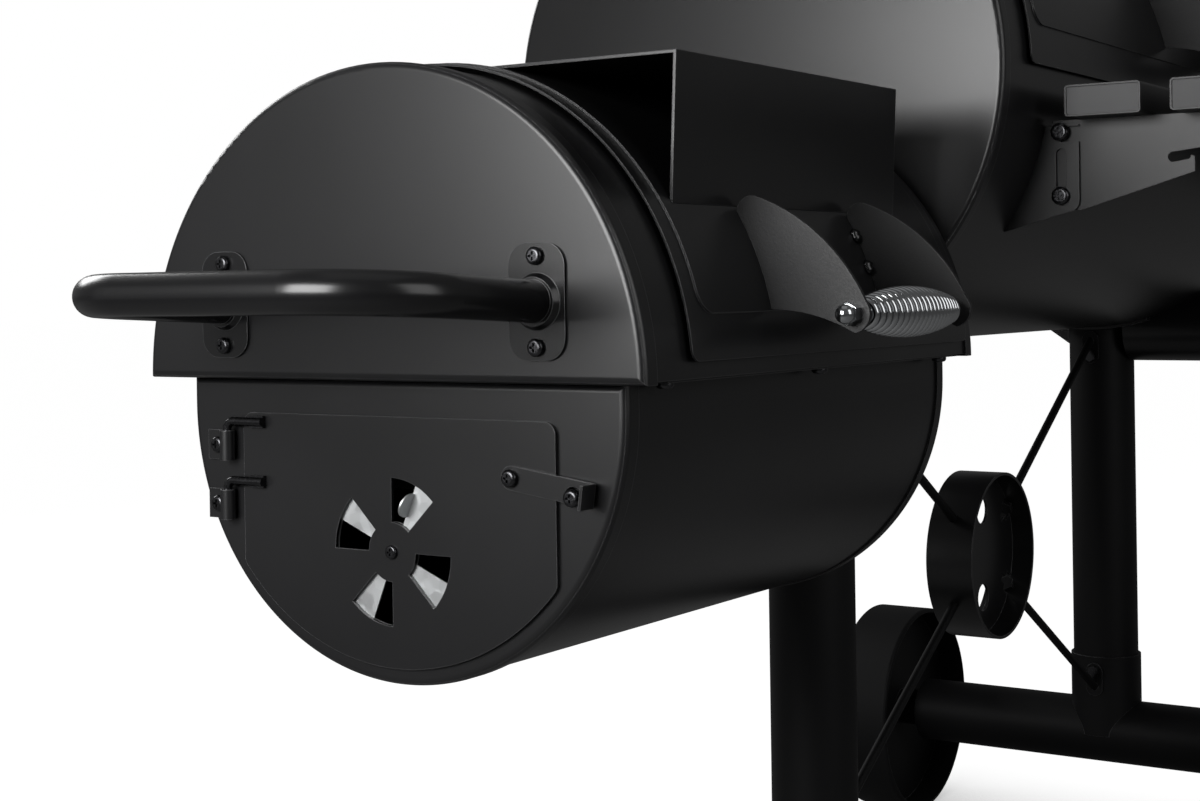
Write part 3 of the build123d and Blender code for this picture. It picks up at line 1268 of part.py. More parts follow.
def wheel():
    """Wide pressed wheel about the local z axis, from z = 0 outward."""
    with BuildPart() as drum:
        with BuildSketch(Plane.XZ):
            with Locations((WHEEL_R - RIM_T / 2, WHEEL_W / 2)):
                Rectangle(RIM_T, WHEEL_W)
            with Locations(((WHEEL_R - RIM_T + AXLE_R) / 2, WHEEL_W / 2)):
                Rectangle(WHEEL_R - RIM_T - AXLE_R + 1, WEB_T)
            with Locations(((AXLE_R + PIN_FIT + HUB_R) / 2, WHEEL_W / 2)):
                Rectangle(HUB_R - AXLE_R - PIN_FIT, WHEEL_W)
        revolve(axis=Axis.Z)
        outer = drum.faces().filter_by(GeomType.CYLINDER).sort_by(SortBy.RADIUS)[-1]
        fillet(outer.edges().filter_by(GeomType.CIRCLE), RIM_T * 0.8)
        with BuildSketch():
            Circle(AXLE_R + PIN_FIT)
        extrude(amount=WHEEL_W, mode=Mode.SUBTRACT)
    return drum.part


drum = wheel()
for wheel_name, side in (("front_wheel", -1), ("rear_wheel", 1)):
    with BuildPart() as rolled:
        with Locations(
            Plane(origin=(LEG_X[1], AXIS_Y + side * WHEEL_IN, WHEEL_R), x_dir=(side, 0, 0), z_dir=(0, side, 0))
        ):
            add(drum)
    rolled.part.label = wheel_name
    export_step(rolled.part, "parts/" + wheel_name + ".step")

# cross brace: ring with a pierced disc, four rods to the legs, hexagon bolts
with BuildPart() as ring:
    with BuildSketch(front(-RING_T / 2, X_MID, RING_H)):
        Circle(RING_R - RING_T / 2)
        with Locations((0, RING_HOLE), (0, -RING_HOLE)):
            Circle(RING_EYE, mode=Mode.SUBTRACT)
    extrude(amount=-RING_T)
    for x, toward, z, join in RODS:
        spoke = Plane(origin=(X_MID, AXIS_Y, RING_H), z_dir=(x - X_MID, 0, join - RING_H))
        with BuildSketch(spoke.offset(RING_R)):
            Circle(2 * ROD_R + 2)
        extrude(amount=-RING_T - 3 * ROD_R, mode=Mode.SUBTRACT)
    with BuildSketch(front(-RING_W / 2, X_MID, RING_H)):
        Circle(RING_R)
        Circle(RING_R - RING_T, mode=Mode.SUBTRACT)
    extrude(amount=-RING_W)
    for x, toward, z, join in RODS:
        spoke = Plane(origin=(X_MID, AXIS_Y, RING_H), z_dir=(x - X_MID, 0, join - RING_H))
        with BuildSketch(spoke.offset(RING_R * 0.7)):
            Circle(ROD_R + FIT)
        extrude(amount=RING_R, mode=Mode.SUBTRACT)
ring.part.label = "brace_ring"
export_step(ring.part, "parts/brace_ring.step")

with BuildPart() as rods:
    for x, toward, z, join in RODS:
        line = Vector(x - X_MID, 0, join - RING_H)
        start = Plane(origin=(X_MID, AXIS_Y, RING_H), z_dir=line).offset(RING_R - RING_T)
        with BuildSketch(start.offset(-ROD_R)):
            Circle(ROD_R)
        extrude(amount=line.length - RING_R + RING_T + 2 * ROD_R)
        with BuildSketch(start.offset(-1)):
            RegularPolygon(1.8 * ROD_R, 6)
        extrude(amount=-1.2 * ROD_R)
        with BuildSketch(yz(x, 0, z)):
            Circle(EYE_W / 2)
            with Locations((0, (join - z) / 2)):
                Rectangle(EYE_W, EYE_JOIN)
            with Locations((0, join - z)):
                Circle(EYE_W / 2)
            Circle(EYE_BOLT_R + FIT, mode=Mode.SUBTRACT)
        extrude(amount=toward * EYE_T)
        with BuildSketch(yz(x, 0, z)):
            Rectangle(8 * EYE_W, 8 * EYE_W)
        extrude(amount=-toward * 4 * ROD_R, mode=Mode.SUBTRACT)
rods.part.label = "brace_rods"
export_step(rods.part, "parts/brace_rods.step")

eye_bolt = hex_bolt(EYE_BOLT_R, EYE_T + LEG_R / 2, 1.9 * EYE_BOLT_R, EYE_BOLT_R)
with BuildPart() as brace_bolts:
    with Locations(*[right(x + EYE_T, 0, z) for x, toward, z, join in RODS if toward > 0]):
        add(eye_bolt)
    with Locations(*[left(x - EYE_T, 0, z) for x, toward, z, join in RODS if toward < 0]):
        add(eye_bolt)
brace_bolts.part.label = "brace_bolts"
export_step(brace_bolts.part, "parts/brace_bolts.step")

# folding front shelf: brackets on the barrel, arms on two bolts each, slats of closed box tube
SHELF_X = (X_BARREL + SHELF_IN, X_END - SHELF_IN)
BRACKET_FRONT = SHELF_BOLT_Y + 15
ARM_BACK = SHELF_BOLT_Y - 8
SLOT_R = SHELF_BOLT_R + GAP
with BuildPart() as shelf_brackets:
    for x, inward in zip(SHELF_X, (1, -1)):
        with BuildSketch(yz(x)):
            with BuildLine():
                Polyline(
                    (-SHELF_BOLT_Y + 60, SHELF_UP - 4),
                    (-BRACKET_FRONT, SHELF_UP - 4),
                    (-BRACKET_FRONT, SHELF_BOLT_LOW - 4),
                )
                ThreePointArc(
                    (-BRACKET_FRONT, SHELF_BOLT_LOW - 4),
                    (-BRACKET_FRONT + 2.4, SHELF_BOLT_LOW - 10.2),
                    (-BRACKET_FRONT + 9, SHELF_BOLT_LOW - 13),
                )
                Polyline(
                    (-BRACKET_FRONT + 9, SHELF_BOLT_LOW - 13),
                    (-BRACKET_FRONT + 64, SHELF_BOLT_LOW - 28),
                    (-BRACKET_FRONT + 90, SHELF_BOLT_LOW),
                    (-SHELF_BOLT_Y + 60, SHELF_UP - 4),
                )
            make_face()
            with Locations((-SHELF_BOLT_Y, SHELF_BOLT_LOW + 17)):
                SlotCenterToCenter(34, 2 * SLOT_R, rotation=90, mode=Mode.SUBTRACT)
            with Locations((-SHELF_BOLT_Y, SHELF_BOLT_HIGH)):
                Circle(SLOT_R, mode=Mode.SUBTRACT)
            with Locations((-SHELF_BOLT_Y - 12, SHELF_BOLT_HIGH - 2)):
                Rectangle(24, 2 * SLOT_R + 4, mode=Mode.SUBTRACT)
        extrude(amount=inward * SHELF_T)
    add(round_bar(BARREL_H, BARREL_SHELL + FIT, X_BARREL, BARREL_L), mode=Mode.SUBTRACT)
shelf_brackets.part.label = "shelf_brackets"
export_step(shelf_brackets.part, "parts/shelf_brackets.step")

HOOK_Y = SHELF_BOLT_Y + 90
with BuildPart() as shelf_arms:
    for x, inward in zip(SHELF_X, (1, -1)):
        side = x + inward * (SHELF_T + GAP)
        with BuildSketch(yz(side)):
            with BuildLine():
                Polyline(
                    (-ARM_BACK, SHELF_UP),
                    (-SHELF_FRONT, SHELF_UP),
                    (-SHELF_FRONT, SHELF_UP - 15),
                    (-HOOK_Y - 18, SHELF_UP - 28),
                    (-HOOK_Y, SHELF_UP - 30),
                )
                ThreePointArc(
                    (-HOOK_Y, SHELF_UP - 30), (-HOOK_Y + 4, SHELF_UP - 34), (-HOOK_Y, SHELF_UP - 38)
                )
                Polyline(
                    (-HOOK_Y, SHELF_UP - 38),
                    (-HOOK_Y - 13, SHELF_UP - 36),
                    (-HOOK_Y - 14, SHELF_UP - 33),
                    (-HOOK_Y - 17, SHELF_UP - 34),
                    (-HOOK_Y - 17, SHELF_UP - 46),
                    (-BRACKET_FRONT, SHELF_BOLT_LOW - 12),
                    (-ARM_BACK, SHELF_BOLT_LOW - 12),
                    (-ARM_BACK, SHELF_UP),
                )
            make_face()
            with Locations((-SHELF_BOLT_Y, SHELF_BOLT_LOW), (-SHELF_BOLT_Y, SHELF_BOLT_HIGH)):
                Circle(SHELF_BOLT_R + FIT, mode=Mode.SUBTRACT)
        extrude(amount=inward * SHELF_T)
        with BuildSketch(yz(side, -(SLAT_Y + SHELF_FRONT) / 2, SHELF_UP - FLANGE_T / 2)):
            Rectangle(SHELF_FRONT - SLAT_Y, FLANGE_T)
        extrude(amount=inward * FLANGE_W)
shelf_arms.part.label = "shelf_arms"
export_step(shelf_arms.part, "parts/shelf_arms.step")

shelf_bolt = pan_screw(SHELF_BOLT_R, 2 * SHELF_T + 2 * GAP + 6, SHELF_HEAD_R, SHELF_HEAD_T)
BOLT_ZS = (SHELF_BOLT_LOW, SHELF_BOLT_HIGH)
with BuildPart() as shelf_bolts:
    with Locations(*[left(SHELF_X[0] - GAP, -SHELF_BOLT_Y, z) for z in BOLT_ZS]):
        add(shelf_bolt)
    with Locations(*[right(SHELF_X[1] + GAP, -SHELF_BOLT_Y, z) for z in BOLT_ZS]):
        add(shelf_bolt)
shelf_bolts.part.label = "shelf_bolts"
export_step(shelf_bolts.part, "parts/shelf_bolts.step")

SLAT_X = SHELF_X[0] - SLAT_OVER
SLAT_L = SHELF_X[1] - SHELF_X[0] + 2 * SLAT_OVER
SLAT_YS = [-(SLAT_Y + SLAT_W / 2 + SLAT_STEP * k) for k in range(SLAT_COUNT)]
SLAT_Z = SHELF_UP + SLAT_H / 2
with BuildPart() as slats:
    for y in SLAT_YS:
        with BuildSketch(yz(SLAT_X, y, SLAT_Z)):
            RectangleRounded(SLAT_W, SLAT_H, 3)
            RectangleRounded(SLAT_W - 2 * SLAT_WALL, SLAT_H - 2 * SLAT_WALL, 1.5, mode=Mode.SUBTRACT)
        extrude(amount=SLAT_L)
slats.part.label = "shelf_slats"
export_step(slats.part, "parts/shelf_slats.step")

with BuildPart() as plugs:
    for y in SLAT_YS:
        for x in (SLAT_X + 1, SLAT_X + SLAT_L - 3):
            with BuildSketch(yz(x, y, SLAT_Z)):
                RectangleRounded(SLAT_W - 2 * SLAT_WALL - FIT, SLAT_H - 2 * SLAT_WALL - FIT, 1.4)
            extrude(amount=2)
plugs.part.label = "slat_plugs"
export_step(plugs.part, "parts/slat_plugs.step")
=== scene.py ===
"""Looks of an offset smoker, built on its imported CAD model."""

import math

import bmesh
import bpy
from bpy.props import FloatProperty, FloatVectorProperty, IntProperty, PointerProperty
from mathutils import Matrix, Vector


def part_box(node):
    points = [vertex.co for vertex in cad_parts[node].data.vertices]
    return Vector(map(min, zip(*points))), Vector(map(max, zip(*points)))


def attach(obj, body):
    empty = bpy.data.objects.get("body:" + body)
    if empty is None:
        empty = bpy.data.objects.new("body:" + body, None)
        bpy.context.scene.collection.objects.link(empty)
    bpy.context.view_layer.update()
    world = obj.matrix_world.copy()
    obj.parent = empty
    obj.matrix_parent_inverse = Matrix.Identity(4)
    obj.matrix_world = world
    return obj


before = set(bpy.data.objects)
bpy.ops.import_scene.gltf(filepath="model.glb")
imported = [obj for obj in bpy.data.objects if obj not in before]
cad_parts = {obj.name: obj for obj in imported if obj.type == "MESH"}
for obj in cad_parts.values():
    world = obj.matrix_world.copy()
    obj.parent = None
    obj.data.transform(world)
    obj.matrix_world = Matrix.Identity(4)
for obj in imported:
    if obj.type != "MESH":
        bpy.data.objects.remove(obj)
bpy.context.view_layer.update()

bl_info = {
    "name": "Offset Smoker",
    "version": (1, 0, 0),
    "blender": (4, 5, 0),
    "location": "View3D > Sidebar > Smoker",
    "description": "Finishes and small fittings of an offset smoker with a side firebox",
    "category": "Object",
}

MM = 0.001

# places read from the frame: the barrel's axis and the firebox's seam, with the radius of each end cap
CAP_LOW, CAP_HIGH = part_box("barrel_left_cap")
AXIS = Vector((0, (CAP_LOW.y + CAP_HIGH.y) / 2, (CAP_LOW.z + CAP_HIGH.z) / 2))
BARREL_R = (CAP_HIGH.z - CAP_LOW.z) / 2
BOX_LOW, BOX_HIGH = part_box("top_left_cap")
SEAM = Vector((0, AXIS.y, BOX_LOW.z))
BOX_R = (BOX_HIGH.y - BOX_LOW.y) / 2

# angles in degrees about a shell's axis, up from the front; heights are above the end cap's radius
HINGE_A = 115.0
LEAF_A = 8.0  # from the hinge line to the rivets of a leaf
FIXED_LEAF_UP = 1.4 * MM
DOOR_LEAF_UP = 6.1 * MM
LEAF_RIVETS = (12 * MM, 48 * MM)  # from the end of a row of leaves
FIELD_UP = 4.6 * MM  # pressed field of a door
TACK_A = (19.4, 26.1)
TACK_UP = 1.0 * MM  # middle of a tack above the pressed field
TACK_IN = 5.8 * MM  # middle of a tack from a wing's outer face

# chimney flange: its rivets lie on a circle about the inlet
FLANGE_X = 3.2 * MM
FLANGE_Z = 58 * MM
FLANGE_R = 48 * MM
FLANGE_RIVETS = 4

# thermometer dial, seated on the main door's pressed field
DIAL_A = 52.0
DIAL_UP = 6.4 * MM
DIAL_R = 34.4 * MM
DIAL_BORE = 1.7 * MM
DIAL_SWEEP = 260.0
DIAL_NUMBERS = 7
NUMBER_STEP = 50
NUMBER_R = 22.5 * MM
NUMBER_SIZE = 5.6 * MM
TICK_OUT = 32.5 * MM
LONG_TICK = 5  # every fifth tick is long
PRINT_LOW, PRINT_HIGH = 0.38 * MM, 0.52 * MM

# noise repeats about every 1.5 cells, so its scale is this share over the pattern's spacing
NOISE_CELL = 0.66
CLOUD = 90 * MM  # distance over which a coat's thickness drifts

# camera as fitted to the photograph's edges
CAMERA_PLACE = Vector((-1.6372, -0.6986, 0.67374))
CAMERA_AHEAD = Vector((0.8334, 0.5526, 0))
CAMERA_ROLL = math.radians(0.83)
CAMERA_SHIFT = -0.0941

# which nodes carry which finish
SHEET_NODES = (
    "main_barrel",
    "barrel_left_cap",
    "barrel_right_cap",
    "firebox_trough",
    "trough_left_cap",
    "trough_right_cap",
    "firebox_top",
    "top_left_cap",
    "top_right_cap",
    "chimney",
    "chimney_lid",
    "fixed_hinge_leaves",
    "hinge_brackets",
    "grate_rails",
    "leg_cradles",
    "brace_ring",
)
DOOR_NODES = ("main_door", "firebox_door", "firebox_hood", "ash_door", "latch")
DOOR_NODES += ("main_door_leaves", "firebox_door_leaves")
SHELF_NODES = ("shelf_brackets", "shelf_arms", "shelf_slats")
WING_NODES = ("main_wings", "firebox_wings")
TUBE_NODES = ("left_leg", "right_leg", "leg_sockets", "foot_tube", "axle_tube", "brace_rods")
WHEEL_NODES = ("front_wheel", "rear_wheel")
SCREW_NODES = ("pan_screws", "door_screws", "door_pintles", "shelf_bolts", "brace_bolts", "axle_bolts")
CHROME_NODES = ("main_grip_spring", "main_grip_rod", "main_grip_nuts")
CHROME_NODES += ("firebox_grip_spring", "firebox_grip_rod", "firebox_grip_nuts")
IRON_NODES = ("cooking_grates", "firebox_grate")


def linear(code):
    """Linear RGBA of an sRGB hex colour."""
    parts = [int(code[i : i + 2], 16) / 255 for i in (0, 2, 4)]
    return tuple(c / 12.92 if c <= 0.04045 else ((c + 0.055) / 1.055) ** 2.4 for c in parts) + (1.0,)


class SmokerFinish(bpy.types.PropertyGroup):
    """Colours and grain sizes of the smoker's finishes."""

    coat: FloatVectorProperty(
        name="Coat",
        description="Powder coat of the sheet steel",
        subtype="COLOR",
        size=4,
        default=linear("171718"),
    )
    enamel: FloatVectorProperty(
        name="Enamel",
        description="Enamel and paint of the tubes, wheels and welds",
        subtype="COLOR",
        size=4,
        default=linear("101011"),
    )
    # painted highlight: a lighter grey painted along cut and bent edges, standing in for light catching the
    # rims
    edge: FloatVectorProperty(
        name="Edge",
        description="Thin coat over cut and bent edges",
        subtype="COLOR",
        size=4,
        default=linear("8E8E90"),
    )
    chrome: FloatVectorProperty(
        name="Chrome",
        description="Plated wire, rods and nuts",
        subtype="COLOR",
        size=4,
        default=linear("C4C6C8"),
    )
    zinc: FloatVectorProperty(
        name="Zinc",
        description="Galvanised vent shutter and hinge pins",
        subtype="COLOR",
        size=4,
        default=linear("CDCFD0"),
    )
    peel: FloatProperty(
        name="Peel",
        description="Spacing of the powder coat's grain",
        unit="LENGTH",
        default=0.9 * MM,
        min=0.1 * MM,
    )
    spangle: FloatProperty(
        name="Spangle", description="Crystal size of the zinc", unit="LENGTH", default=7 * MM, min=1 * MM
    )
    edge_round: FloatProperty(
        name="Edge round",
        description="Rounding of a coated edge",
        unit="LENGTH",
        default=0.8 * MM,
        min=0.0,
    )


class SmokerFittings(bpy.types.PropertyGroup):
    """Sizes of the small fittings that are added to the model."""

    rivet_r: FloatProperty(
        name="Rivet",
        description="Head radius of the hinge and chimney rivets",
        unit="LENGTH",
        default=4.2 * MM,
        min=1 * MM,
    )
    tack_r: FloatProperty(
        name="Tack width",
        description="Half width of a tack weld",
        unit="LENGTH",
        default=5.4 * MM,
        min=1 * MM,
    )
    tack_l: FloatProperty(
        name="Tack", description="Length of a tack weld", unit="LENGTH", default=11 * MM, min=2 * MM
    )
    ticks: IntProperty(
        name="Ticks", description="Divisions on the dial", subtype="UNSIGNED", default=30, min=6
    )


class SmokerStage(bpy.types.PropertyGroup):
    """Camera and light of the studio."""

    lens: FloatProperty(
        name="Lens", description="Focal length in millimetres", unit="CAMERA", default=57.48, min=10
    )
    key: FloatProperty(
        name="Key", description="Power of the left panel", unit="POWER", default=22.5, min=0.0
    )
    bounce: FloatProperty(
        name="Bounce", description="Power of the left bounce", unit="POWER", default=0.8, min=0.0
    )
    rear: FloatProperty(
        name="Rear", description="Power of the panel behind", unit="POWER", default=40.0, min=0.0
    )
    top: FloatProperty(
        name="Top", description="Power of the overhead panel", unit="POWER", default=1.6, min=0.0
    )
    front: FloatProperty(
        name="Front", description="Power of the front panel", unit="POWER", default=11.0, min=0.0
    )
    fill: FloatProperty(
        name="Fill", description="Ambient level of the room", subtype="FACTOR", default=0.06, min=0.0
    )
    gloss_room: FloatProperty(
        name="Room in gloss",
        description="Share of the white backdrop that gloss picks up in the dim room",
        subtype="FACTOR",
        default=0.055,
        min=0.0,
        max=1.0,
    )


def add_node(mat, kind, values=None, links=None, **settings):
    """Adds a node: settings are its properties, values and links go to its inputs."""
    node = mat.node_tree.nodes.new(kind)
    for key, value in settings.items():
        setattr(node, key, value)
    for key, value in (values or {}).items():
        node.inputs[key].default_value = value
    for key, source in (links or {}).items():
        mat.node_tree.links.new(source, node.inputs[key])
    return node


def new_material(name, **values):
    """Material with one principled shader; values are its uniform inputs, with _ for a space."""
    mat = bpy.data.materials.new(name)
    mat.use_nodes = True
    mat.node_tree.nodes.clear()
    uniform = {key.replace("_", " "): value for key, value in values.items()}
    shader = add_node(mat, "ShaderNodeBsdfPrincipled", uniform)
    add_node(mat, "ShaderNodeOutputMaterial", links={"Surface": shader.outputs["BSDF"]})
    place = add_node(mat, "ShaderNodeTexCoord").outputs["Object"]
    return mat, shader, place


def coated(name, colour, rough, grain_size, lift, finish, spread=0.02, edge_highlight_share=1.0):
    """Coat or skin: fine grain in gloss and bump, cloudy tone, and a painted highlight along edges, a lighter
    grey blended in by the given share.
    """
    mat, shader, place = new_material(name)
    grain = add_node(
        mat,
        "ShaderNodeTexNoise",
        {"Scale": NOISE_CELL / grain_size, "Detail": 2.0, "Roughness": 0.6},
        {"Vector": place},
    )
    cloud = add_node(
        mat, "ShaderNodeTexNoise", {"Scale": NOISE_CELL / CLOUD, "Detail": 3.0}, {"Vector": place}
    )
    rounded = add_node(mat, "ShaderNodeBevel", {"Radius": finish.edge_round}, samples=4)
    flat = add_node(mat, "ShaderNodeNewGeometry")
    facing = add_node(
        mat,
        "ShaderNodeVectorMath",
        links={0: rounded.outputs["Normal"], 1: flat.outputs["Normal"]},
        operation="DOT_PRODUCT",
    )
    # painted highlight: where the rounded normal turns away from the flat one, the tone is blended toward the
    # lighter edge grey, broken up by the cloud noise
    edge_highlight_mask = add_node(
        mat,
        "ShaderNodeMapRange",
        {"From Min": 0.99, "From Max": 0.8, "To Min": 0.0, "To Max": edge_highlight_share},
        {"Value": facing.outputs["Value"]},
    )
    patchy = add_node(
        mat,
        "ShaderNodeMath",
        links={0: edge_highlight_mask.outputs["Result"], 1: cloud.outputs["Fac"]},
        operation="MULTIPLY",
    )
    shade = add_node(
        mat,
        "ShaderNodeMapRange",
        {"From Min": 0.3, "From Max": 0.7, "To Min": 0.8, "To Max": 1.2},
        {"Value": cloud.outputs["Fac"]},
    )
    tint = add_node(
        mat,
        "ShaderNodeVectorMath",
        {0: colour[:3]},
        {"Scale": shade.outputs["Result"]},
        operation="SCALE",
    )
    mixed = add_node(
        mat,
        "ShaderNodeMix",
        {7: finish.edge},
        {0: patchy.outputs["Value"], 6: tint.outputs["Vector"]},
        data_type="RGBA",
    )
    gloss = add_node(
        mat,
        "ShaderNodeMapRange",
        {"From Min": 0.25, "From Max": 0.75, "To Min": rough - spread, "To Max": rough + spread},
        {"Value": grain.outputs["Fac"]},
    )
    bump = add_node(
        mat,
        "ShaderNodeBump",
        {"Strength": 1.0, "Distance": lift},
        {"Height": grain.outputs["Fac"], "Normal": rounded.outputs["Normal"]},
    )
    link = mat.node_tree.links.new
    link(mixed.outputs[2], shader.inputs["Base Color"])
    link(gloss.outputs["Result"], shader.inputs["Roughness"])
    link(bump.outputs["Normal"], shader.inputs["Normal"])
    return mat


def metal(name, colour, rough, spread, size, lift, stretch=(1, 1, 1)):
    """Bare or plated metal whose gloss drifts with a fine pattern of the given size."""
    mat, shader, place = new_material(name, Metallic=1.0)
    turned = add_node(mat, "ShaderNodeMapping", {"Scale": stretch}, {"Vector": place})
    marks = add_node(
        mat,
        "ShaderNodeTexNoise",
        {"Scale": NOISE_CELL / size, "Detail": 3.0},
        {"Vector": turned.outputs["Vector"]},
    )
    gloss = add_node(
        mat,
        "ShaderNodeMapRange",
        {"From Min": 0.3, "From Max": 0.7, "To Min": rough - spread, "To Max": rough + spread},
        {"Value": marks.outputs["Fac"]},
    )
    shade = add_node(
        mat,
        "ShaderNodeMapRange",
        {"From Min": 0.3, "From Max": 0.7, "To Min": 0.9, "To Max": 1.0},
        {"Value": marks.outputs["Fac"]},
    )
    tint = add_node(
        mat,
        "ShaderNodeVectorMath",
        {0: colour[:3]},
        {"Scale": shade.outputs["Result"]},
        operation="SCALE",
    )
    bump = add_node(mat, "ShaderNodeBump", {"Distance": lift}, {"Height": marks.outputs["Fac"]})
    link = mat.node_tree.links.new
    link(tint.outputs["Vector"], shader.inputs["Base Color"])
    link(gloss.outputs["Result"], shader.inputs["Roughness"])
    link(bump.outputs["Normal"], shader.inputs["Normal"])
    return mat


def dress(names, mat):
    """Gives CAD nodes a material."""
    for name in names:
        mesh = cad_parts[name].data
        mesh.materials.clear()
        mesh.materials.append(mat)


def keep_piece(name, bm, mat, body):
    """Turns a bmesh into a smooth piece that rides on a body."""
    mesh = bpy.data.meshes.new(name)
    bmesh.ops.recalc_face_normals(bm, faces=bm.faces)
    bm.to_mesh(mesh)
    bm.free()
    for face in mesh.polygons:
        face.use_smooth = True
    mesh.materials.append(mat)
    piece = bpy.data.objects.new(name, mesh)
    bpy.context.scene.collection.objects.link(piece)
    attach(piece, body)


def on_shell(centre, radius, x, angle):
    """Frame on a round shell with z out of the shell and x along it; angle is up from the front."""
    a = math.radians(angle)
    out = Vector((0, -math.cos(a), math.sin(a)))
    along = Vector((1, 0, 0))
    place = Vector((x, centre.y, centre.z)) + out * radius
    turn = Matrix((along, out.cross(along), out)).transposed().to_4x4()
    return Matrix.Translation(place) @ turn


def lathe(bm, profile, matrix, steps=28):
    """Adds a turned form: profile is a list of (radius, height), closed on its axis."""
    rings = []
    turns = [2 * math.pi * k / steps for k in range(steps)]
    for r, z in profile:
        spots = [(r * math.cos(t), r * math.sin(t), z) for t in turns] if r else [(0, 0, z)]
        rings.append([bm.verts.new(matrix @ Vector(spot)) for spot in spots])
    for low, high in zip(rings, rings[1:]):
        for k in range(steps):
            n = (k + 1) % steps
            quad = [low[k % len(low)], low[n % len(low)], high[n % len(high)], high[k % len(high)]]
            bm.faces.new(list(dict.fromkeys(quad)))


def rivet_head(bm, matrix, r):
    """Adds a domed rivet head with a small flat skirt."""
    skirt, dome, steps = 0.12 * r, 0.5 * r, 7
    turns = [math.pi / 2 * k / steps for k in range(steps)]
    arc = [(r * math.cos(t), skirt + dome * math.sin(t)) for t in turns]
    lathe(bm, [(r, -0.2 * MM)] + arc + [(0, skirt + dome)], matrix)


def bead(bm, points, outs, r):
    """Adds a weld bead along points: overlapping ripples that thin out at both ends."""
    steps = 10
    turns = [2 * math.pi * k / steps for k in range(steps)]
    flat = 0.7  # height of the bead over its width
    rows = []
    last = len(points) - 1
    for i, (p, out) in enumerate(zip(points, outs)):
        ahead = (points[min(i + 1, last)] - points[max(i - 1, 0)]).normalized()
        side = out.cross(ahead).normalized()
        u = i / last
        taper = min(1.0, 0.25 + 2.2 * math.sqrt(max(0.0, u * (1 - u))))
        ripple = 0.88 + 0.12 * math.cos(i * math.pi)
        swell = r * taper * ripple
        ring = [p + side * swell * math.cos(t) + out * flat * swell * math.sin(t) for t in turns]
        rows.append([bm.verts.new(spot) for spot in ring])
    for low, high in zip(rows, rows[1:]):
        for k in range(steps):
            n = (k + 1) % steps
            bm.faces.new((low[k], low[n], high[n], high[k]))
    bm.faces.new(rows[0])
    bm.faces.new(rows[-1])


class SMOKER_OT_sheet(bpy.types.Operator):
    """Coat the rolled shells, pressed caps, chimney and brackets"""

    bl_idname = "smoker.sheet"
    bl_label = "Coat sheet steel"

    def execute(self, context):
        finish = context.scene.smoker_finish
        # electrostatic powder baked on sheet steel: satin black with a faint orange peel
        mat = coated("powder_coated_sheet_steel", finish.coat, 0.31, finish.peel, 0.02 * MM, finish)
        dress(SHEET_NODES, mat)
        return {"FINISHED"}


class SMOKER_OT_doors(bpy.types.Operator):
    """Coat the doors, the heat shield and the latch"""

    bl_idname = "smoker.doors"
    bl_label = "Coat doors"

    def execute(self, context):
        finish = context.scene.smoker_finish
        # the doors are coated apart from the shells, a little glossier
        mat = coated("powder_coated_door_steel", finish.coat, 0.3, finish.peel, 0.02 * MM, finish)
        dress(DOOR_NODES, mat)
        return {"FINISHED"}


class SMOKER_OT_shelf(bpy.types.Operator):
    """Coat the folding shelf and plug its slats"""

    bl_idname = "smoker.shelf"
    bl_label = "Finish shelf"

    def execute(self, context):
        finish = context.scene.smoker_finish
        # drawn box tube and cut plate under the same powder, with a duller skin
        mat = coated("powder_coated_shelf_steel", finish.coat, 0.44, finish.peel, 0.02 * MM, finish)
        dress(SHELF_NODES, mat)
        # injection-moulded polypropylene: spark-eroded grain, low gloss
        colour = linear("484849")
        plug = coated("moulded_polypropylene", colour, 0.55, 0.5 * MM, 0.015 * MM, finish, edge_highlight_share=0.0)
        dress(("slat_plugs", "foot_pads"), plug)
        return {"FINISHED"}


class SMOKER_OT_wings(bpy.types.Operator):
    """Coat the handle wings and tack them to their doors"""

    bl_idname = "smoker.wings"
    bl_label = "Coat wings"

    def execute(self, context):
        finish = context.scene.smoker_finish
        fittings = context.scene.smoker_fittings
        # textured powder: its grain is coarse enough to sparkle
        colour = linear("131314")
        mat = coated("textured_powder_coat", colour, 0.5, 0.9 * MM, 0.09 * MM, finish, 0.08)
        dress(WING_NODES, mat)
        # arc welds under the coat: rippled lumps with small bright highlights
        weld = coated("coated_weld_bead", finish.enamel, 0.2, 2 * MM, 0.05 * MM, finish)
        pairs = (
            ("main_wings", "main_door", AXIS, BARREL_R + FIELD_UP + TACK_UP),
            ("firebox_wings", "firebox_door", SEAM, BOX_R + FIELD_UP + TACK_UP),
        )
        for node, body, centre, radius in pairs:
            low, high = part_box(node)
            bm = bmesh.new()
            # two tacks inside each wing, where the plate meets the pressed field
            steps = 6
            half = math.degrees(fittings.tack_l / 2 / radius)
            for x in (low.x + TACK_IN, high.x - TACK_IN):
                for angle in TACK_A:
                    angles = [angle - half + 2 * half * k / steps for k in range(steps + 1)]
                    frames = [on_shell(centre, radius, x, a) for a in angles]
                    points = [m.translation for m in frames]
                    outs = [m.col[2].to_3d() for m in frames]
                    bead(bm, points, outs, fittings.tack_r)
            keep_piece(node + "_tacks", bm, weld, body)
        return {"FINISHED"}


